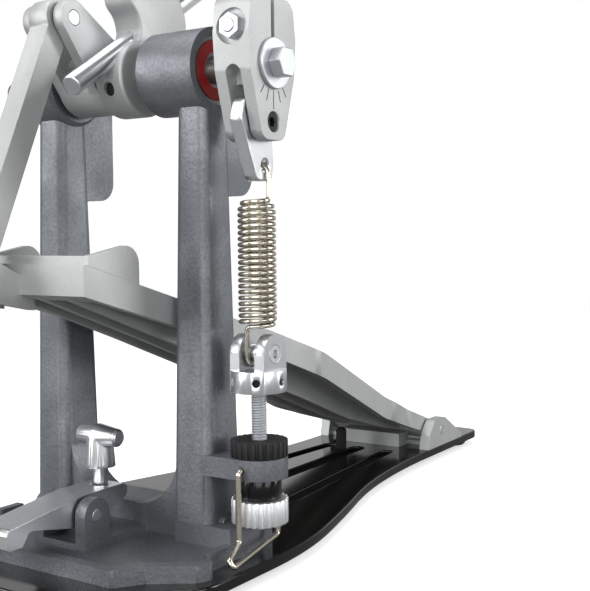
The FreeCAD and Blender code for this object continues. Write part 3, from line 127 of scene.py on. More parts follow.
def sweep_floor(name):
    """A floor round the object, with a rounded rim that goes up into a wall."""
    form = bmesh.new()
    profile = [(0.0, 0.0), (FLOOR_REACH / 2, 0.0), (FLOOR_REACH, 0.0)]
    for step in range(1, FLOOR_STEPS + 1):
        angle = math.pi / 2 * step / FLOOR_STEPS
        profile.append((FLOOR_REACH + FLOOR_BEND * math.sin(angle),
                        FLOOR_BEND * (1 - math.cos(angle))))
    profile.append((FLOOR_REACH + FLOOR_BEND, FLOOR_BEND + FLOOR_RISE))
    corners = [form.verts.new((x, 0.0, z - FLOOR_DROP)) for x, z in profile]
    edges = [form.edges.new(pair) for pair in zip(corners, corners[1:])]
    bmesh.ops.spin(form, geom=corners + edges, cent=(0, 0, 0), axis=(0, 0, 1), angle=2 * math.pi,
                   steps=FLOOR_SIDES, use_merge=True)
    bmesh.ops.remove_doubles(form, verts=form.verts, dist=SAME_POINT)
    bmesh.ops.recalc_face_normals(form, faces=form.faces)
    for face in form.faces:
        face.smooth = True
    return add_to_scene(name, keep_mesh(form, name))


floor = sweep_floor("studio_floor")
print("floor faces:", len(floor.data.polygons))

# %% [markdown]
# Every material below is a handful of nodes. A few small helpers keep that readable: one adds a
# node and feeds its inputs, either with a plain value or with the socket of an earlier node, and the
# others shorten sums, mixed colours and new materials.

# %% Helpers for nodes
def feed(tree, node, inputs):
    """Give a node's inputs sockets to follow or plain values."""
    for key, value in inputs.items():
        if isinstance(value, bpy.types.NodeSocket):
            tree.links.new(value, node.inputs[key])
        else:
            node.inputs[key].default_value = value


def put(tree, kind, inputs=None, **settings):
    """Add a node to a tree: first its settings, then its inputs."""
    node = tree.nodes.new(kind)
    for key, value in settings.items():
        setattr(node, key, value)
    feed(tree, node, inputs or {})
    return node


def math_node(tree, operation, *values, **settings):
    """A math node fed by sockets or plain numbers; its output socket is returned."""
    node = put(tree, "ShaderNodeMath", dict(enumerate(values)), operation=operation, **settings)
    return node.outputs["Value"]


def mix_colour(tree, share, first, second, blend="MIX"):
    node = put(tree, "ShaderNodeMix", {"Factor": share, "A": first, "B": second},
               data_type="RGBA", blend_type=blend)
    return node.outputs["Result"]


def new_material(name):
    material = bpy.data.materials.new(name)
    material.use_nodes = True
    return material, material.node_tree, material.node_tree.nodes["Principled BSDF"]


print("node helpers:", [helper.__name__ for helper in (feed, put, math_node, mix_colour)])

# %% [markdown]
# White paper lights every shadow from below and leaves bright metal nothing dark to reflect. So the
# paper is white to the eye and grey to the metal: its shader asks the Light Path whether a ray is
# seen directly or is only a bounce. Bounced light is dim on the drum's side and bright behind the
# pedal.

# %% Paper for the floor
PAPER_SEEN = (0.9, 0.9, 0.9, 1)
PAPER_BOUNCED = (0.08, 0.08, 0.08, 1)
PAPER_GLOW = (0.55, 0.55, 0.55, 1)
MIRRORED_SHARE = 0.2
FROM_THE_DRUM = (-0.84, -0.54, 0.0)
BACKDROP = {"From Min": 0.1, "From Max": 1.9, "To Min": 0.02, "To Max": 0.65}


def paper_finish():
    """White paper, dimmer as a source of bounced light and dimmest on the drum's side."""
    material, tree, paper = new_material("studio_paper")
    rays = put(tree, "ShaderNodeLightPath").outputs
    place = put(tree, "ShaderNodeTexCoord").outputs["Object"]
    side = put(tree, "ShaderNodeVectorMath", {0: place, 1: FROM_THE_DRUM}, operation="DOT_PRODUCT")
    behind = put(tree, "ShaderNodeMapRange", {"Value": side.outputs["Value"], **BACKDROP},
                 interpolation_type="SMOOTHSTEP")
    mirrored = math_node(tree, "MULTIPLY", rays["Is Glossy Ray"], MIRRORED_SHARE)
    seen = math_node(tree, "MAXIMUM", mirrored, rays["Is Camera Ray"])
    feed(tree, paper, {
        "Roughness": 0.9, "Specular IOR Level": 0.0, "Emission Strength": 1.0,
        "Base Color": mix_colour(tree, seen, PAPER_BOUNCED, PAPER_SEEN),
        "Emission Color": mix_colour(tree, rays["Is Camera Ray"], behind.outputs["Result"],
                                     PAPER_GLOW)})
    return material


floor.data.materials.append(paper_finish())
print("paper:", floor.data.materials[0].name)

# %% [markdown]
# Large soft lamps give metal its broad highlights. A single one would leave half of the pedal black,
# so there is one above, three round it and a weak one low on the spring's side.

# %% Hang the lamps
LAMPS = (
    # name, place, aim, width and height, watts
    ("lamp_above", (0.1, -0.1, 1.1), (0, 0, 0.1), (0.8, 0.8), 7),
    ("lamp_right", (-0.7, 1.1, 0.5), (0, 0, 0.1), (0.5, 0.9), 9),
    ("lamp_left", (0.95, -0.75, 0.5), (0, 0, 0.1), (0.6, 0.9), 9),
    ("lamp_front", (1.05, 0.45, 0.5), (0, 0, 0.08), (0.9, 0.9), 9),
    ("lamp_low", (0.35, 1.1, 0.25), (0, 0, 0.05), (0.6, 0.4), 3),
)
AIR_LIGHT = 0.16
for name, place, aim, size, power in LAMPS:
    lamp_data = bpy.data.lights.new(name, "AREA")
    lamp_data.shape = "RECTANGLE"
    lamp_data.size, lamp_data.size_y = size
    lamp_data.energy = power
    lamp = add_to_scene(name, lamp_data)
    lamp.location = place
    lamp.rotation_euler = (Vector(aim) - Vector(place)).to_track_quat("-Z", "Y").to_euler()
world = bpy.data.worlds.new("studio_air")
world.use_nodes = True
feed(world.node_tree, world.node_tree.nodes["Background"],
     {"Color": (1, 1, 1, 1), "Strength": AIR_LIGHT})
bpy.context.scene.world = world
bpy.context.scene.view_settings.view_transform = "Standard"
print("lamps:", len(LAMPS))

# %% [markdown]
# ## Shared surface effects
# Most finishes here are the same few effects in other strengths: the grain of a casting with the
# soft blotches that handling leaves, the fine lines of brushed metal, and scuffs. Each effect is a
# node group with named inputs. A group puts out only values that change over the surface; the
# shader itself stays in each material, and so does every number that is the same all over.

# %% Grain and blotches
PIT_SHARE = 0.35


def new_group(name, kind, inputs, outputs):
    """A node group; an input is (label, sort of socket, default), an output (label, sort)."""
    tree = bpy.data.node_groups.new(name, kind + "NodeTree")
    for label, sort, value in inputs:
        socket = tree.interface.new_socket(label, in_out="INPUT", socket_type="NodeSocket" + sort)
        if value is not None:
            socket.default_value = value
    for label, sort in outputs:
        tree.interface.new_socket(label, in_out="OUTPUT", socket_type="NodeSocket" + sort)
    return tree, put(tree, "NodeGroupInput").outputs, put(tree, "NodeGroupOutput")


def cast_grain_group():
    """Fine pits over soft blotches, both from Object coordinates."""
    tree, given, result = new_group(
        "cast_grain", "Shader",
        [("Grains per metre", "Float", 1800.0), ("Blotches per metre", "Float", 35.0)],
        [("Grain", "Float"), ("Blotch", "Float")])
    place = put(tree, "ShaderNodeTexCoord").outputs["Object"]
    grains = {"Vector": place, "Scale": given["Grains per metre"]}
    fine = put(tree, "ShaderNodeTexNoise", {**grains, "Detail": 3.0, "Roughness": 0.6})
    pits = put(tree, "ShaderNodeTexVoronoi", grains)
    soft = put(tree, "ShaderNodeTexNoise", {
        "Vector": place, "Scale": given["Blotches per metre"], "Detail": 4.0})
    spread = put(tree, "ShaderNodeMapRange", {
        "Value": soft.outputs["Fac"], "From Min": 0.3, "From Max": 0.7})
    feed(tree, result, {
        "Grain": math_node(tree, "MULTIPLY_ADD", pits.outputs["Distance"], PIT_SHARE,
                           fine.outputs["Fac"]),
        "Blotch": spread.outputs["Result"]})
    return tree


CAST_GRAIN = cast_grain_group()
print("shared effect:", CAST_GRAIN.name)

# %% Brushed lines and scuffs
SCUFF_TURN = (0.5, 0.3, 0.9)
SCUFF_STRETCH = (1.0, 7.0, 7.0)
SCUFF_FULL = 0.8
SCUFF_NONE = 0.82


def brushed_group():
    """Fine lines: noise squeezed across the brushing and drawn out along it."""
    tree, given, result = new_group(
        "brushed_lines", "Shader", [("Lines per metre", "Vector", (4000.0, 4000.0, 60.0))],
        [("Line", "Float")])
    place = put(tree, "ShaderNodeTexCoord").outputs["Object"]
    squeeze = put(tree, "ShaderNodeVectorMath", {0: place, 1: given["Lines per metre"]},
                  operation="MULTIPLY")
    lines = put(tree, "ShaderNodeTexNoise", {
        "Vector": squeeze.outputs["Vector"], "Scale": 1.0, "Detail": 2.0})
    feed(tree, result, {"Line": lines.outputs["Fac"]})
    return tree


def scuff_group():
    """Short bright rubs where hands, shoes and tools have touched."""
    tree, given, result = new_group(
        "scuffs", "Shader", [("Rubs per metre", "Float", 60.0), ("Cover", "Float", 0.3)],
        [("Rub", "Float")])
    place = put(tree, "ShaderNodeTexCoord").outputs["Object"]
    drawn = put(tree, "ShaderNodeMapping", {
        "Vector": place, "Rotation": SCUFF_TURN, "Scale": SCUFF_STRETCH})
    streak = put(tree, "ShaderNodeTexNoise", {
        "Vector": drawn.outputs["Vector"], "Scale": given["Rubs per metre"], "Detail": 6.0,
        "Roughness": 0.7})
    keep = put(tree, "ShaderNodeMapRange", {
        "Value": streak.outputs["Fac"], "From Max": SCUFF_FULL,
        "From Min": math_node(tree, "SUBTRACT", SCUFF_NONE, given["Cover"])})
    feed(tree, result, {"Rub": keep.outputs["Result"]})
    return tree


BRUSHED = brushed_group()
SCUFFS = scuff_group()
print("shared effects:", BRUSHED.name, SCUFFS.name)

# %% [markdown]
# ## The finishes
# One function makes every metal, paint and rubber of the pedal from those effects. It takes a light
# and a dark tint, a range of roughness, and how deep and how fine the grain is. Colours are given
# as they are read from a screen, from 0 to 255, and turned into Blender's linear values.

# %% One recipe for the finishes
BARE_METAL = (0.16, 0.16, 0.155, 1)


def tint(red, green, blue):
    def linear(value):
        share = value / 255
        return share / 12.92 if share <= 0.04045 else ((share + 0.055) / 1.055) ** 2.4
    return linear(red), linear(green), linear(blue), 1.0


def effect(tree, group, inputs):
    return put(tree, "ShaderNodeGroup", inputs, node_tree=group).outputs


def finish(name, light, dark, rough, grain=1800.0, depth=0.02, metallic=1.0, blotch=35.0,
           mottle=0.5, rub=0.0, lines=None, specular=0.5):
    """A finish: light and dark tint, roughness from low to high, grains per metre, depth in mm."""
    material, tree, shader = new_material(name)
    skin = effect(tree, CAST_GRAIN, {"Grains per metre": grain, "Blotches per metre": blotch})
    height = skin["Grain"]
    if lines:
        height = effect(tree, BRUSHED, {"Lines per metre": lines})["Line"]
    blend = put(tree, "ShaderNodeMix", {"Factor": 0.5, "A": mottle, "B": height})
    blotches = math_node(tree, "MULTIPLY", skin["Blotch"], mottle)
    share = math_node(tree, "ADD", blend.outputs["Result"], blotches, use_clamp=True)
    shade = mix_colour(tree, share, tint(*light), tint(*dark))
    if rub:
        marks = effect(tree, SCUFFS, {"Cover": rub})
        shade = mix_colour(tree, marks["Rub"], shade, BARE_METAL, blend="SCREEN")
    gloss = put(tree, "ShaderNodeMapRange", {
        "Value": share, "To Min": rough[0], "To Max": rough[1]})
    bump = put(tree, "ShaderNodeBump", {"Distance": depth * MM, "Height": height})
    feed(tree, shader, {
        "Metallic": metallic, "Specular IOR Level": specular, "Base Color": shade,
        "Roughness": gloss.outputs["Result"], "Normal": bump.outputs["Normal"]})
    return material


print("a middle grey of 128 is %.3f in linear light" % tint(128, 128, 128)[0])

# %% [markdown]
# The pedestal is a gunmetal casting with a dull, pebbled grain. The footboard, the arms and the
# heel block are lighter castings. Plated pieces are smoother, and turned ones show fine lines. Only
# the paint of the plate, the rubber, the seals, the black nuts and the felt are no metals at all.

# %% Mix the finishes
FINISHES = {
    "cast_grey": finish("gunmetal_casting", (162, 165, 170), (108, 111, 116), (0.36, 0.54),
                        grain=800.0, depth=0.11, metallic=0.75, rub=0.12),
    "cast_light": finish("light_casting", (208, 210, 210), (180, 182, 182), (0.46, 0.6),
                         grain=1400.0, depth=0.035, metallic=0.7, rub=0.1),
    "zinc": finish("zinc_plating", (236, 238, 240), (204, 207, 211), (0.3, 0.44),
                   grain=3000.0, depth=0.006),
    "chrome": finish("chrome_plating", (236, 238, 240), (216, 218, 221), (0.24, 0.34),
                     grain=900.0, depth=0.006, blotch=60.0),
    "nickel": finish("nickel_wire", (226, 221, 208), (196, 190, 176), (0.14, 0.28),
                     grain=2400.0, depth=0.006),
    "steel": finish("turned_steel", (190, 190, 188), (140, 140, 138), (0.22, 0.38),
                    lines=(300.0, 5000.0, 300.0), depth=0.01),
    "plate_black": finish("plate_paint", (24, 24, 21), (14, 14, 12), (0.05, 0.12),
                          grain=2600.0, depth=0.006, metallic=0.0, rub=0.14),
    "rubber": finish("black_rubber", (24, 24, 24), (14, 14, 14), (0.6, 0.8),
                     grain=2200.0, depth=0.03, metallic=0.0),
    "seal_red": finish("red_seal", (178, 24, 30), (132, 12, 18), (0.3, 0.45),
                       grain=2600.0, depth=0.01, metallic=0.0),
    "nut_black": finish("matte_black_nut", (32, 32, 34), (18, 18, 20), (0.46, 0.62),
                        grain=2400.0, depth=0.03, metallic=0.0),
    "sleeve_black": finish("gloss_black_sleeve", (16, 16, 17), (9, 9, 10), (0.12, 0.22),
                           grain=900.0, depth=0.004, metallic=0.0, specular=0.35),
    "nut_bright": finish("bright_aluminium", (248, 249, 250), (230, 232, 234), (0.38, 0.52),
                         lines=(400.0, 400.0, 5000.0), depth=0.01),
    "felt": finish("pressed_felt", (226, 220, 206), (190, 184, 170), (0.85, 1.0),
                   grain=1100.0, depth=0.5, metallic=0.0, mottle=0.4, specular=0.2),
    "screw_black": finish("black_oxide", (58, 58, 58), (34, 34, 34), (0.3, 0.46),
                          grain=2400.0, depth=0.01, metallic=0.6),
}
print("finishes:", len(FINISHES))

# %% [markdown]
# ## Softened edges
# No real casting or screw has a perfect corner: each edge is rounded a little and catches a thin
# line of light. The CAD meshes are loose triangles, so a Weld joins them, a planar Decimate takes
# out the lines inside flat faces, and a Bevel rounds what is left. The meshes themselves stay
# untouched. Pieces that are made anew below need none of this.

# %% Dress the CAD nodes
EDGE = {
    "pedestal": 2.0, "footboard": 0.8, "heel_block": 0.9, "toe_stop": 0.6, "spring_arm": 0.7,
    "spring_hanger": 0.5, "tension_clevis": 0.4, "drive_link": 0.6, "drive_arm": 0.7,
    "clamp_jaw": 0.7, "wing_bolt": 0.5, "axle": 0.3, "axle_washer": 0.35, "axle_end_bolt": 0.45,
    "pinch_nut": 0.4, "pinch_bolt": 0.5, "roller": 0.3, "lock_nut": 0.22, "tension_nut": 0.25,
    "nut_sleeve": 0.4, "rubber_feet": 0.4, "bearings": 0.3, "bearing_seals": 0.1, "heel_pin": 0.5,
    "toe_pin": 0.5, "arm_pin": 0.5, "clamp_pin": 0.5, "hanger_pin": 0.2, "hub_screw": 0.3,
    "beater_rod": 0.8, "stop_bumper": 0.3, "wire_bail": 0.2,
}
WIDE_EDGE = 1.0
EDGE_ANGLE = math.radians(33)
FLAT_ANGLE = math.radians(0.6)
WELD_REACH = 0.002


def soften(item, width):
    """Round a CAD node's sharp edges with live modifiers."""
    weld = item.modifiers.new("join_triangles", "WELD")
    weld.merge_threshold = WELD_REACH * MM
    flat = item.modifiers.new("clear_flats", "DECIMATE")
    flat.decimate_type = "DISSOLVE"
    flat.angle_limit = FLAT_ANGLE
    edge = item.modifiers.new("round_edges", "BEVEL")
    edge.width = width * MM
    edge.segments = 2 if width < WIDE_EDGE else 4
    edge.limit_method = "ANGLE"
    edge.angle_limit = EDGE_ANGLE
    edge.harden_normals = True


for node, width in EDGE.items():
    soften(nodes[node], width)
for item in nodes.values():
    slot = item.material_slots[0]
    slot.material = FINISHES[slot.material.name]
print("softened:", len(EDGE), "dressed:", len(nodes))

# %% [markdown]
# ## The floor plate
# The plate is cut from sheet steel along one flowing line: full at the posts, drawn in towards the
# heel. The solid has straight runs with rounded corners there. Here every corner of the long sides
# becomes a wide bend that reaches up to halfway along its runs, so hardly a straight run is left.
# The slots are loops inside the same outline, and the filled sheet is drawn up to its thickness.

# %% Bend the plate's outline
PLATE_NOSE = (76.0, 24.0, 5.0)
PLATE_SIDE = ((39.0, 67.5, 6.0), (-24.3, 68.8, 26.0), (-72.1, 57.0, 26.0), (-118.0, 43.2, 26.0),
              (-170.1, 37.1, 26.0), (-270.0, 37.0, 8.0))
SLOT_LENGTH = 110.0
SLOTS = ((-184.0, 0.0, 4.0, 0.0), (-184.0, 18.5, 3.25, 4.8), (-184.0, -18.5, 3.25, -4.8))
BEND_STEPS = 12


def on_circle(radius, angle):
    return radius * math.cos(angle), radius * math.sin(angle)


def bent_outline(corners):
    """Straight runs with a smooth bend at each corner; a corner is (x, y, reach of the bend)."""
    points = []
    count = len(corners)
    for i in range(count):
        before, corner, after = (Vector(corners[(i + k) % count][:2]) for k in (-1, 0, 1))
        reach = corners[i][2]
        start = corner.lerp(before, min(0.5, reach / (before - corner).length))
        end = corner.lerp(after, min(0.5, reach / (after - corner).length))
        for step in range(BEND_STEPS + 1):
            share = step / BEND_STEPS
            points.append(start.lerp(corner, share).lerp(corner.lerp(end, share), share))
    return points


def slot_outline(x, y, radius, slant):
    """A long slot with round ends, from its back end towards the front."""
    along = Matrix.Rotation(math.radians(slant), 2)
    points = []
    for centre, first in ((SLOT_LENGTH, -90), (0.0, 90)):
        for step in range(BEND_STEPS + 1):
            ahead, aside = on_circle(radius, math.radians(first + 180 * step / BEND_STEPS))
            points.append(Vector((x, y)) + along @ Vector((centre + ahead, aside)))
    return points


left_side = [PLATE_NOSE] + list(PLATE_SIDE)
right_side = [(x, -y, reach) for x, y, reach in reversed(left_side)]
plate_lines = [bent_outline(left_side + right_side)] + [slot_outline(*slot) for slot in SLOTS]
print("points in the plate's lines:", [len(line) for line in plate_lines])

# %% Cut the plate
PLATE_RIM = 0.7
RIM_ANGLE = math.radians(60)
RIM_STEPS = 3
LEVEL = 1e-7
FLAT_FACE = 0.99


def draw_out(form, axis, place, rim):
    """Extrude all faces to a place on an axis, and round the rims of the solid."""
    drawn = bmesh.ops.extrude_face_region(form, geom=form.faces[:])
    for item in drawn["geom"]:
        if isinstance(item, bmesh.types.BMVert):
            item.co[axis] = place
    bmesh.ops.recalc_face_normals(form, faces=form.faces)
    rims = [line for line in form.edges
            if len(line.link_faces) == 2 and line.calc_face_angle(0.0) > RIM_ANGLE
            and abs(line.verts[0].co[axis] - line.verts[1].co[axis]) < LEVEL]
    bmesh.ops.bevel(form, geom=rims, offset=rim * MM, segments=RIM_STEPS, profile=0.5,
                    affect="EDGES")


def sheet(name, outlines, low, high, rim):
    """Sheet metal between two heights: the first outline is the edge, the others are holes."""
    form = bmesh.new()
    for outline in outlines:
        corners = [form.verts.new((x * MM, y * MM, low)) for x, y in outline]
        for i in range(len(corners)):
            form.edges.new((corners[i - 1], corners[i]))
    bmesh.ops.remove_doubles(form, verts=form.verts, dist=SAME_POINT)
    bmesh.ops.triangle_fill(form, use_beauty=True, use_dissolve=False, edges=form.edges[:])
    draw_out(form, 2, high, rim)
    mesh = keep_mesh(form, name)
    for face in mesh.polygons:
        face.use_smooth = abs(face.normal.z) < FLAT_FACE
    return add_to_scene(name, mesh)


plate_low, plate_high = (corner.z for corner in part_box("base_plate"))
plate = sheet("floor_plate", plate_lines, plate_low, plate_high, PLATE_RIM)
plate.data.materials.append(FINISHES["plate_black"])
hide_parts("base_plate")
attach(plate, "frame")
print("plate faces:", len(plate.data.polygons))

# %% [markdown]
# ## The return spring
# The spring is one wire: a hook under the roller, coils a hair apart, and a hook through the
# hanger. A Screw modifier gives the coils but no hooks, and a Bezier curve needs hand-set handles.
# So the line is worked out turn by turn, and a small Geometry Nodes tree sweeps a round wire along
# it.

# %% A tree that sweeps wire
def geometry_tree(name, inputs):
    return new_group(name, "Geometry", [("Geometry", "Geometry", None)] + inputs,
                     [("Geometry", "Geometry")])


def close_tree(tree, given, last, result):
    """End a tree as plain faces with the given finish."""
    real = put(tree, "GeometryNodeRealizeInstances", {"Geometry": last})
    paint = put(tree, "GeometryNodeSetMaterial", {
        "Geometry": real.outputs["Geometry"], "Material": given["Finish"]})
    feed(tree, result, {"Geometry": paint.outputs["Geometry"]})
    return tree


def wire_tree():
    tree, given, result = geometry_tree("swept_wire", [
        ("Radius", "Float", 0.001), ("Sides", "Int", 12), ("Finish", "Material", None)])
    path = put(tree, "GeometryNodeMeshToCurve", {"Mesh": given["Geometry"]})
    ring = put(tree, "GeometryNodeCurvePrimitiveCircle", {
        "Radius": given["Radius"], "Resolution": given["Sides"]})
    sweep = put(tree, "GeometryNodeCurveToMesh", {
        "Curve": path.outputs["Curve"], "Profile Curve": ring.outputs["Curve"], "Fill Caps": True})
    smooth = put(tree, "GeometryNodeSetShadeSmooth", {"Geometry": sweep.outputs["Mesh"]})
    return close_tree(tree, given, smooth.outputs["Geometry"], result)


def settle(item):
    """Put what an object's modifiers make in the place of its mesh."""
    graph = bpy.context.evaluated_depsgraph_get()
    made = bpy.data.meshes.new_from_object(item.evaluated_get(graph), depsgraph=graph)
    item.modifiers.clear()
    item.data = made
    made.name = item.name


def grow(name, tree, start, **settings):
    """Run a tree on a mesh and keep the result as a plain mesh."""
    item = add_to_scene(name, start)
    modifier = item.modifiers.new(tree.name, "NODES")
    modifier.node_group = tree
    for socket in tree.interface.items_tree:
        if socket.in_out == "INPUT" and socket.name in settings:
            modifier[socket.identifier] = settings[socket.name]
    settle(item)
    return item


WIRE = wire_tree()
print("tree:", WIRE.name)

# %% The spring's line
WIRE_ACROSS = 1.8
COIL_RADIUS = 6.35
COIL_PITCH = 2.179
COIL_TURNS = 21.25
COILS_OVER_ROLLER = 10.05
NARROW_TURNS = 1.5
NARROW_RADIUS = 5.1
LOW_HOOK = 4.45
TOP_HOOK = 4.05
BEND = 1.9
TURN_STEPS = 28
HOOK_STEPS = 12
ELBOW_STEPS = 6


def arc(centre, start, end, steps):
    """Points round a centre from one spot to another, by turning the arm between them."""
    first, last = start - centre, end - centre
    axis = first.cross(last)
    angle = first.angle(last)
    return [centre + Matrix.Rotation(angle * i / steps, 3, axis) @ first for i in range(steps + 1)]


def half_round(start, end, through):
    """A half circle between two points, bulging towards a direction."""
    centre = (start + end) / 2
    peak = centre + through * (start - end).length / 2
    return arc(centre, start, peak, HOOK_STEPS)[:-1] + arc(centre, peak, end, HOOK_STEPS)


def coil_line(low):
    """The coils from their first quarter turn up, narrow at both ends."""
    points = []
    lead = TURN_STEPS // 2
    for i in range(lead // 2, int(COIL_TURNS * TURN_STEPS) + 1):
        turns = i / TURN_STEPS
        left = COIL_TURNS - turns
        radius = COIL_RADIUS
        if left < NARROW_TURNS:
            radius = NARROW_RADIUS + (COIL_RADIUS - NARROW_RADIUS) * left / NARROW_TURNS
        if i < lead:
            radius = LOW_HOOK + (COIL_RADIUS - LOW_HOOK) * i / lead
        points.append(Vector((*on_circle(radius, 2 * math.pi * turns), low + COIL_PITCH * turns)))
    return points


def spring_line():
    """Hook, coils and hook, in millimetres about the spring's axis."""
    roller_z = middle("roller").z / MM
    low = roller_z + COILS_OVER_ROLLER
    top = low + COIL_PITCH * COIL_TURNS
    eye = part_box("spring")[1].z / MM - WIRE_ACROSS / 2 - TOP_HOOK
    points = [Vector((-LOW_HOOK, -BEND, roller_z + WIRE_ACROSS))]
    points += half_round(Vector((-LOW_HOOK, -BEND, roller_z)), Vector((LOW_HOOK, -BEND, roller_z)),
                         Vector((0, 0, -1)))
    points += arc(Vector((LOW_HOOK, 0, low - BEND)), Vector((LOW_HOOK, -BEND, low - BEND)),
                  Vector((LOW_HOOK, 0, low)), ELBOW_STEPS)
    points += coil_line(low)
    points += arc(Vector((0, TOP_HOOK, top + BEND)), Vector((0, TOP_HOOK, top)),
                  Vector((-BEND, TOP_HOOK, top + BEND)), ELBOW_STEPS)[1:]
    points += half_round(Vector((-BEND, TOP_HOOK, eye)), Vector((-BEND, -TOP_HOOK, eye)),
                         Vector((0, 0, 1)))
    return points + [Vector((-BEND, -TOP_HOOK, eye - WIRE_ACROSS))]


spring_axis = Vector((0, middle("spring_arm").y, 0))
spring_points = [spring_axis + point * MM for point in spring_line()]
print("points in the spring's line:", len(spring_points))

# %% Wind the spring
WIRE_SIDES = 12


def line_mesh(name, points):
    mesh = bpy.data.meshes.new(name)
    mesh.from_pydata([tuple(point) for point in points],
                     [(i, i + 1) for i in range(len(points) - 1)], [])
    return mesh


spring_wire = grow("return_spring_wire", WIRE, line_mesh("spring_line", spring_points),
                   Radius=WIRE_ACROSS / 2 * MM, Sides=WIRE_SIDES, Finish=FINISHES["nickel"])
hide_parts("spring")
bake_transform(spring_wire)
print("spring faces:", len(spring_wire.data.polygons))

# %% [markdown]
# ## The threaded rod
# The tension rod is an M6 screw with one millimetre of pitch. A picture of a thread would vanish at
# the outline, so it is real: a Geometry Nodes tree bends a flat grid round the axis and lets the
# radius rise and fall with height and angle together, which is all that a thread is.

# %% A tree that cuts threads
THREAD_SIDES = 40
ROOT_FLAT = 0.12
CREST_FLAT = 0.88


def thread_tree():
    """A grid bent round an upright axis, with a ridge that climbs one pitch in each turn."""
    tree, given, result = geometry_tree("cut_thread", [
        ("Radius", "Float", 0.003), ("Depth", "Float", 0.0006), ("Pitch", "Float", 0.001),
        ("Length", "Float", 0.05), ("Rows", "Int", 400), ("Place", "Vector", None),
        ("Finish", "Material", None)])

    def calc(operation, *values):
        return math_node(tree, operation, *values)

    flat = put(tree, "GeometryNodeMeshGrid", {
        "Size X": 1.0, "Size Y": 1.0, "Vertices X": THREAD_SIDES + 1, "Vertices Y": given["Rows"]})
    spot = put(tree, "GeometryNodeInputPosition").outputs["Position"]
    split = put(tree, "ShaderNodeSeparateXYZ", {"Vector": spot}).outputs
    across = calc("ADD", split["X"], 0.5)
    along = calc("MULTIPLY", calc("ADD", split["Y"], 0.5), given["Length"])
    angle = calc("MULTIPLY", across, 2 * math.pi)
    phase = calc("SUBTRACT", calc("DIVIDE", along, given["Pitch"]), across)
    wave = calc("MULTIPLY", calc("PINGPONG", phase, 0.5), 2.0)
    crest = put(tree, "ShaderNodeMapRange", {
        "Value": wave, "From Min": ROOT_FLAT, "From Max": CREST_FLAT}).outputs["Result"]
    end = calc("MINIMUM", along, calc("SUBTRACT", given["Length"], along))
    fade = calc("MINIMUM", calc("DIVIDE", end, given["Depth"]), 1.0)
    sunk = calc("SUBTRACT", 1.0, calc("MULTIPLY", crest, fade))
    radius = calc("SUBTRACT", given["Radius"], calc("MULTIPLY", given["Depth"], sunk))
    place = put(tree, "ShaderNodeCombineXYZ", {
        "X": calc("MULTIPLY", radius, calc("COSINE", angle)),
        "Y": calc("MULTIPLY", radius, calc("SINE", angle)), "Z": along})
    bent = put(tree, "GeometryNodeSetPosition", {
        "Geometry": flat.outputs["Mesh"], "Position": place.outputs["Vector"]})
    parts = put(tree, "GeometryNodeJoinGeometry", {"Geometry": bent.outputs["Geometry"]})
    core = calc("SUBTRACT", given["Radius"], given["Depth"])
    cap = put(tree, "GeometryNodeMeshCircle", {"Vertices": THREAD_SIDES, "Radius": core},
              fill_type="NGON")
    lift = put(tree, "ShaderNodeCombineXYZ", {"Z": given["Length"]})
    for seat in ({"Rotation": (math.pi, 0, 0)}, {"Translation": lift.outputs["Vector"]}):
        lid = put(tree, "GeometryNodeTransform", {"Geometry": cap.outputs["Mesh"], **seat})
        feed(tree, parts, {"Geometry": lid.outputs["Geometry"]})
    sealed = put(tree, "GeometryNodeMergeByDistance", {
        "Geometry": parts.outputs["Geometry"], "Distance": SAME_POINT})
    moved = put(tree, "GeometryNodeTransform", {
        "Geometry": sealed.outputs["Geometry"], "Translation": given["Place"]})
    return close_tree(tree, given, moved.outputs["Geometry"], result)


THREAD = thread_tree()
print("tree:", THREAD.name)

# %% Cut the rod's thread
ROD_RADIUS = 3.0
ROD_PITCH = 1.0
DEPTH_OF_PITCH = 0.6
ROWS_PER_PITCH = 10

rod_low, rod_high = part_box("tension_rod")
rod_middle = (rod_low + rod_high) / 2
rod_length = rod_high.z - rod_low.z
rod = grow("threaded_rod", THREAD, bpy.data.meshes.new("threaded_rod"), Radius=ROD_RADIUS * MM,
           Depth=DEPTH_OF_PITCH * ROD_PITCH * MM, Pitch=ROD_PITCH * MM, Length=rod_length,
           Rows=int(rod_length / MM / ROD_PITCH * ROWS_PER_PITCH) + 1,
           Place=(rod_middle.x, rod_middle.y, rod_low.z), Finish=FINISHES["zinc"])
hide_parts("tension_rod")
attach(rod, "tension_screw")
print("thread faces:", len(rod.data.polygons))

# %% [markdown]
# ## Socket screws
# The flange screws and the heel screws are bought-in parts: a round head with a chamfered rim and a
# hexagon socket. One screw is modelled as a stack of rings, where the socket's rings follow a
# hexagon and not a circle. A Geometry Nodes tree then sets a copy on every point, each turned by
# another angle from a fixed seed, because nobody lines sockets up.

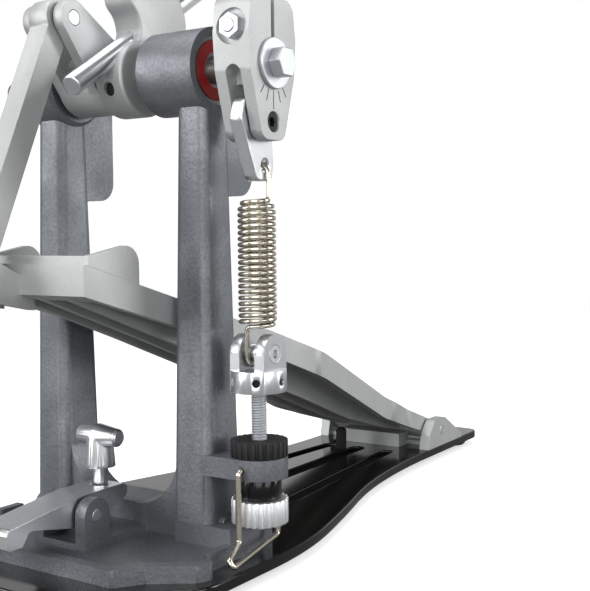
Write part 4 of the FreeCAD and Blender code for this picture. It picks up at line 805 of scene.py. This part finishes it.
# %% A tree that sets copies
def copies_tree():
    """A pattern on every point, leaned and stretched by the point's own attributes."""
    tree, given, result = geometry_tree("copies_on_points", [
        ("Pattern", "Object", None), ("Seed", "Int", 3), ("Turn", "Float", 0.0),
        ("Finish", "Material", None)])
    pattern = put(tree, "GeometryNodeObjectInfo", {"Object": given["Pattern"]})
    lean, stretch = (
        put(tree, "GeometryNodeInputNamedAttribute", {"Name": label}, data_type="FLOAT_VECTOR")
        for label in ("lean", "stretch"))
    chance = put(tree, "FunctionNodeRandomValue", {"Max": given["Turn"], "Seed": given["Seed"]},
                 data_type="FLOAT")
    spin = put(tree, "ShaderNodeCombineXYZ", {"Z": chance.outputs["Value"]})
    total = put(tree, "ShaderNodeVectorMath", {
        0: lean.outputs["Attribute"], 1: spin.outputs["Vector"]}, operation="ADD")
    copies = put(tree, "GeometryNodeInstanceOnPoints", {
        "Points": given["Geometry"], "Instance": pattern.outputs["Geometry"],
        "Rotation": total.outputs["Vector"], "Scale": stretch.outputs["Attribute"]})
    return close_tree(tree, given, copies.outputs["Instances"], result)


COPIES = copies_tree()


def set_copies(name, pattern, spots, finish_name, turn=0.0, leans=None, stretches=None):
    """Copies of a mesh at the spots, joined into one piece."""
    points = bpy.data.meshes.new(name + "_points")
    points.from_pydata([tuple(spot) for spot in spots], [], [])
    flat = [(0.0, 0.0, 0.0)] * len(spots)
    even = [(1.0, 1.0, 1.0)] * len(spots)
    for label, values in (("lean", leans or flat), ("stretch", stretches or even)):
        attribute = points.attributes.new(label, "FLOAT_VECTOR", "POINT")
        attribute.data.foreach_set("vector", [number for value in values for number in value])
    original = add_to_scene(name + "_pattern", pattern)
    piece = grow(name, COPIES, points, Pattern=original, Turn=turn, Finish=FINISHES[finish_name])
    bpy.data.objects.remove(original)
    return piece


print("tree:", COPIES.name)

# %% One socket screw
RING_SIDES = 36


def around(count, start=0.0):
    """Evenly spaced angles of one full turn."""
    return [2 * math.pi * (i + start) / count for i in range(count)]


def hexagon_reach(flats, angle):
    """Distance from the middle of a hexagon to its side at an angle."""
    sixth = math.pi / 3
    return flats / 2 / math.cos((angle + sixth / 2) % sixth - sixth / 2)


def ring_stack(name, rings, sides=RING_SIDES):
    """A closed form from rings: (radius, height) or (flats, height, "hexagon"), in millimetres."""
    form = bmesh.new()
    loops = []
    for size, height, *shape in rings:
        loops.append([
            form.verts.new(Vector((
                *on_circle(hexagon_reach(size, angle) if shape else size, angle), height)) * MM)
            for angle in around(sides)])
    for below, above in zip(loops, loops[1:]):
        for i in range(sides):
            j = (i + 1) % sides
            form.faces.new((below[i], below[j], above[j], above[i]))
    form.faces.new(loops[0][::-1])
    form.faces.new(loops[-1])
    return keep_mesh(form, name)


def socket_screw(name, radius, tall, flats, deep, rim, shank, length):
    """A round head with its seat at height 0, a socket in it and a plain shank below."""
    return ring_stack(name, [
        (shank, -length), (shank, 0.0), (radius - rim / 2, 0.0), (radius, rim / 2),
        (radius, tall - rim), (radius - rim, tall), (flats + rim * 0.8, tall, "hexagon"),
        (flats, tall - rim / 2, "hexagon"), (flats, tall - deep, "hexagon")])


print("a 4 mm socket is %.2f mm across its corners" % (2 * hexagon_reach(4.0, math.pi / 6)))

# %% Screws of the pedestal and the heel
HEAD_RADIUS = 5.0
HEAD_FLATS = 4.0
HEAD_RIM = 0.5
SOCKET_SHARE = 0.7
SHANK_RADIUS = 3.0
SIXTH_TURN = math.pi / 3


def screw_spots(node):
    """Middles of a node's separate solids in the view from above."""
    form = bmesh.new()
    form.from_mesh(nodes[node].data)
    bmesh.ops.remove_doubles(form, verts=form.verts, dist=SAME_POINT)
    waiting = set(form.verts)
    spots = []
    while waiting:
        found = {waiting.pop()}
        rim = list(found)
        while rim:
            vert = rim.pop()
            fresh = {line.other_vert(vert) for line in vert.link_edges} - found
            found |= fresh
            rim += fresh
        waiting -= found
        xs = [vert.co.x for vert in found]
        ys = [vert.co.y for vert in found]
        spots.append(Vector(((min(xs) + max(xs)) / 2, (min(ys) + max(ys)) / 2, 0)))
    form.free()
    return sorted(spots, key=lambda spot: (round(spot.y, 5), round(spot.x, 5)))


for node, name, tall in (("pedestal_screws", "pedestal_socket_screws", 4.0),
                         ("heel_screws", "heel_socket_screws", 2.0)):
    low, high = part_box(node)
    seat = high.z - tall * MM
    shape = socket_screw(name + "_one", HEAD_RADIUS, tall, HEAD_FLATS, tall * SOCKET_SHARE,
                         min(HEAD_RIM, tall / 4), SHANK_RADIUS, (seat - low.z) / MM)
    spots = [Vector((spot.x, spot.y, seat)) for spot in screw_spots(node)]
    screws = set_copies(name, shape, spots, "screw_black", turn=SIXTH_TURN)
    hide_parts(node)
    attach(screws, "frame")
    print(name, len(spots))

# %% [markdown]
# The clevis has its own screws. One crosses both cheeks and carries the roller, with its head let
# into the left cheek. The ring below has holes all round, each closed by a small black set screw
# with its socket outwards. They are the same stack of rings, laid on their side.

# %% The screw across the clevis
CROSS_HEAD = {"radius": 3.6, "tall": 2.2, "flats": 3.0, "deep": 1.5, "rim": 0.4, "shank": 2.0}
QUARTER_TURN = math.radians(90)

low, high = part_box("clevis_screw")
cross_middle = middle("clevis_screw")
cross_screw = socket_screw("cross_screw_one", **CROSS_HEAD,
                           length=(high.y - low.y) / MM - CROSS_HEAD["tall"])
cross_seat = high.y - CROSS_HEAD["tall"] * MM
cross = set_copies("clevis_cross_screw", cross_screw,
                   [(cross_middle.x, cross_seat, cross_middle.z)],
                   "zinc", leans=[(-QUARTER_TURN, 0.0, 0.0)])
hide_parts("clevis_screw")
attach(cross, "tension_screw")
print("cross screw faces:", len(cross.data.polygons))

# %% Set screws in the clevis ring
SET_SCREWS = 6
SET_SCREW_REACH = 9.3
SET_SCREW_RINGS = ((1.25, -4.0), (1.25, -0.3), (1.0, 0.0), (1.5, 0.0, "hexagon"),
                   (1.5, -1.4, "hexagon"))
CLEVIS_RING_TALL = 8.1

ring_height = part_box("tension_clevis")[0].z + CLEVIS_RING_TALL / 2 * MM
ring_y = middle("tension_clevis").y
ring_angles = around(SET_SCREWS, 0.5)
ring_spots = []
for angle in ring_angles:
    ahead, aside = on_circle(SET_SCREW_REACH * MM, angle)
    ring_spots.append((ahead, ring_y + aside, ring_height))
ring_screws = set_copies("clevis_set_screws", ring_stack("set_screw_one", SET_SCREW_RINGS),
                         ring_spots, "screw_black",
                         leans=[(0.0, QUARTER_TURN, angle) for angle in ring_angles])
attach(ring_screws, "tension_screw")
print("set screws:", len(ring_spots))

# %% [markdown]
# ## Marks on the spring arm
# Five lines fan out under the washer of the spring arm. They show how far the arm is turned on the
# axle. They are cut and filled with dark paint, so here each is a thin dark bar, let into the face
# and standing proud by a hair. The middle one is longer.

# %% Fan of setting lines
FAN = ((-36.0, 4.0), (-18.0, 4.4), (0.0, 6.6), (18.0, 4.4), (36.0, 4.0))
FAN_START = 9.9
FAN_WIDTH = 0.45
FAN_PROUD = 0.04
CORNER_SHARE = 0.3


def bar_mesh(name, width, length, thick):
    """A bar along -Z from the origin, with its corners cut."""
    form = bmesh.new()
    bmesh.ops.create_cube(form, size=1.0)
    for vert in form.verts:
        vert.co = Vector((vert.co.x * width, vert.co.y * thick, (vert.co.z - 0.5) * length)) * MM
    bmesh.ops.bevel(form, geom=form.edges[:], offset=thick * CORNER_SHARE * MM, segments=1,
                    affect="EDGES")
    return keep_mesh(form, name)


arm_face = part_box("spring_arm")[1].y
axle_height = middle("axle_washer").z
fan_spots = []
for degrees, _ in FAN:
    down, ahead = on_circle(FAN_START * MM, math.radians(degrees))
    fan_spots.append((ahead, arm_face, axle_height - down))
fan = set_copies(
    "setting_lines", bar_mesh("setting_line", FAN_WIDTH, 1.0, FAN_PROUD * 2), fan_spots,
    "screw_black", leans=[(0.0, math.radians(-degrees), 0.0) for degrees, _ in FAN],
    stretches=[(1.0, 1.0, length) for _, length in FAN])
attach(fan, "axle_unit")
print("setting lines:", len(fan_spots))

# %% [markdown]
# ## The beater's hub
# The hub is one light casting: a collar on the axle and above it a round head that the rod is
# pushed through. The head's front is hollowed towards the collar, so its outline is a free curve.
# A few points and a smooth closed curve through them give that outline. Both forms are drawn out
# across the pedal with rounded rims, joined by a Boolean, and the set screw's hole is cut last.

# %% Forms of the hub
HEAD_OUTLINE = ((-6, 9), (3.5, 13), (2.8, 18.5), (4.5, 24), (8.6, 28.5), (9.2, 35), (4, 40),
                (-8, 41), (-18, 38), (-24, 31), (-25.5, 23), (-22, 16), (-15, 11))
CURVE_STEPS = 6
COLLAR_SIDES = 72


def smooth_loop(corners):
    """A closed curve through the corners (a Catmull-Rom spline)."""
    count = len(corners)
    points = []
    for i in range(count):
        a, b, c, d = (Vector(corners[(i + k - 1) % count]) for k in range(4))
        for step in range(CURVE_STEPS):
            t = step / CURVE_STEPS
            points.append((2 * b + (c - a) * t + (2 * a - 5 * b + 4 * c - d) * t ** 2
                           + (3 * b - a - 3 * c + d) * t ** 3) / 2)
    return points


def slab(name, outline, low_y, high_y, rim):
    """An outline in X and Z drawn out along Y, with rounded rims, all in millimetres."""
    form = bmesh.new()
    form.faces.new([form.verts.new(Vector((x, low_y, z)) * MM) for x, z in outline])
    draw_out(form, 1, high_y * MM, rim)
    return add_to_scene(name, keep_mesh(form, name))


hub_low, hub_high = (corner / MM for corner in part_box("beater_hub"))
axle_z = axle_height / MM
collar = [on_circle(axle_z - hub_low.z, angle) for angle in around(COLLAR_SIDES)]
collar_line = [(x, axle_z + z) for x, z in collar]
head_line = [(point.x, axle_z + point.y) for point in smooth_loop(HEAD_OUTLINE)]
print("points in the hub's lines:", len(collar_line), len(head_line))

# %% Cast the hub
HUB_RIM = 1.3
HOLE_ROOM = 0.1
HOLE_LENGTH = 20.0


def combine(piece, tool, operation):
    """Join or cut a piece with a tool, and remove the tool."""
    modifier = piece.modifiers.new(operation, "BOOLEAN")
    modifier.operation = operation
    modifier.object = tool
    settle(piece)
    bpy.data.objects.remove(tool)


hub = slab("beater_hub_casting", collar_line, hub_low.y, hub_high.y, HUB_RIM)
combine(hub, slab("hub_head", head_line, hub_low.y, hub_high.y, HUB_RIM), "UNION")
screw_low, screw_high = (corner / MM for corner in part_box("hub_screw"))
screw_middle = middle("hub_screw") / MM
hole_radius = (screw_high.z - screw_low.z) / 2 + HOLE_ROOM
hole = ring_stack("screw_hole", [(hole_radius, 0.0), (hole_radius, HOLE_LENGTH)])
hole.transform(Matrix.Translation(Vector((screw_low.x, screw_middle.y, screw_middle.z)) * MM)
               @ Matrix.Rotation(math.pi / 2, 4, "Y"))
combine(hub, add_to_scene("screw_hole", hole), "DIFFERENCE")
hub.data.shade_smooth()
hub.data.set_sharp_from_angle(angle=EDGE_ANGLE)
hub.data.materials.clear()
hub.data.materials.append(FINISHES["cast_light"])
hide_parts("beater_hub")
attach(hub, "axle_unit")
print("hub faces:", len(hub.data.polygons))

# %% [markdown]
# ## Grip on the footboard
# A cast footboard has rows of low round studs on top, so that a shoe doesn't slip. The board's top
# is curved, so each stud has to be set down on it: a ray is dropped on a grid of places, and where
# it meets the top, a stud is set along the surface's own direction. Places near an edge are left
# out.

# %% Set the studs
STUD_STEP = 12.0
STUD_SIDE = 10.0
STUD_MARGIN = 5.0
STUD_RINGS = ((2.3, -0.3), (2.3, 0.25), (1.9, 0.6), (1.2, 0.75))
STUD_SIDES = 12
RAY_START = 50.0
STEEPEST = 0.75


def board_grid():
    """Places on the board's top and their tilt."""
    low, high = (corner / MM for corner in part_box("footboard"))
    form = bmesh.new()
    form.from_mesh(nodes["footboard"].data)
    surface = BVHTree.FromBMesh(form)
    form.free()

    def drop(x, y):
        start = Vector((x, y, high.z + RAY_START)) * MM
        spot, normal, _, _ = surface.ray_cast(start, Vector((0, 0, -1)))
        return (spot, normal) if spot is not None and normal.z > STEEPEST else None

    spots, leans = [], []
    columns = int((high.y - low.y) / STUD_SIDE / 2)
    centre = (low.y + high.y) / 2
    margins = [(dx, dy) for dx in (-STUD_MARGIN, STUD_MARGIN) for dy in (-STUD_MARGIN, STUD_MARGIN)]
    for row in range(int((high.x - low.x) / STUD_STEP)):
        for column in range(-columns, columns + 1):
            x = low.x + STUD_STEP * (row + 0.5)
            y = centre + STUD_SIDE * (column + 0.5 * (row % 2))
            hit = drop(x, y)
            beside = [drop(x + dx, y + dy) for dx, dy in margins]
            if hit is None or None in beside:
                continue
            if max(abs(near[0].z - hit[0].z) for near in beside) > STUD_MARGIN * MM:
                continue
            spots.append(hit[0])
            leans.append(tuple(Vector((0, 0, 1)).rotation_difference(hit[1]).to_euler()))
    return spots, leans


stud_spots, stud_leans = board_grid()
studs = set_copies("grip_studs", ring_stack("stud_one", STUD_RINGS, STUD_SIDES), stud_spots,
                   "cast_light", leans=stud_leans)
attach(studs, "board")
print("studs:", len(stud_spots))

# %% [markdown]
# ## The beater's felt
# The beater's head is a drum of hard pressed felt on a rod. The CAD solid is a smooth puck. The
# piece here is turned from the same rounded outline with many more points, then pushed in and out a
# little by smooth noise, so its outline is never quite straight, as wool never is.

# %% Turn the felt
FELT_RADIUS = 23.0
FELT_HALF = 24.0
FELT_EDGE = 6.0
FELT_LEAN = math.radians(33.0)
FELT_SIDES = 96
FELT_STEPS = 8
FLAT_STEPS = 6
FELT_WAVES = ((260, 0.22), (900, 0.1))
FELT_SINK = 0.15


def felt_outline():
    """Radius and height pairs from the lower middle, round both rims, to the upper middle."""
    flat = FELT_RADIUS - FELT_EDGE
    wall = FELT_HALF - FELT_EDGE
    lower = [math.pi / 2 * i / FELT_STEPS for i in range(FELT_STEPS + 1)]
    pairs = [(flat * i / FLAT_STEPS, -FELT_HALF) for i in range(FLAT_STEPS)]
    pairs += [(flat + FELT_EDGE * math.sin(angle), -(wall + FELT_EDGE * math.cos(angle)))
              for angle in lower]
    pairs += [(FELT_RADIUS, wall * (i / FELT_STEPS - 1)) for i in range(1, 2 * FELT_STEPS)]
    pairs += [(flat + FELT_EDGE * math.sin(angle), wall + FELT_EDGE * math.cos(angle))
              for angle in reversed(lower)]
    return pairs + [(flat * i / FLAT_STEPS, FELT_HALF) for i in range(FLAT_STEPS - 1, -1, -1)]


def turned_felt(name):
    form = bmesh.new()
    loops = []
    for radius, height in felt_outline():
        angles = around(FELT_SIDES) if radius else [0.0]
        loops.append([form.verts.new(Vector((*on_circle(radius, angle), height)) * MM)
                      for angle in angles])
    for below, above in zip(loops, loops[1:]):
        for i in range(FELT_SIDES):
            j = (i + 1) % FELT_SIDES
            if len(below) == 1:
                form.faces.new((below[0], above[j], above[i]))
            elif len(above) == 1:
                form.faces.new((below[i], below[j], above[0]))
            else:
                form.faces.new((below[i], below[j], above[j], above[i]))
    bmesh.ops.recalc_face_normals(form, faces=form.faces)
    form.normal_update()
    for vert in form.verts:
        rough = sum(noise.noise(vert.co * scale) * height for scale, height in FELT_WAVES)
        vert.co += vert.normal * (rough - FELT_SINK) * MM
    for face in form.faces:
        face.smooth = True
    form.transform(Matrix.Translation(middle("beater_head")) @ Matrix.Rotation(FELT_LEAN, 4, "Y"))
    mesh = keep_mesh(form, name)
    mesh.materials.append(FINISHES["felt"])
    return add_to_scene(name, mesh)


felt = turned_felt("felt_head")
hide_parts("beater_head")
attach(felt, "beater")
print("felt faces:", len(felt.data.polygons))
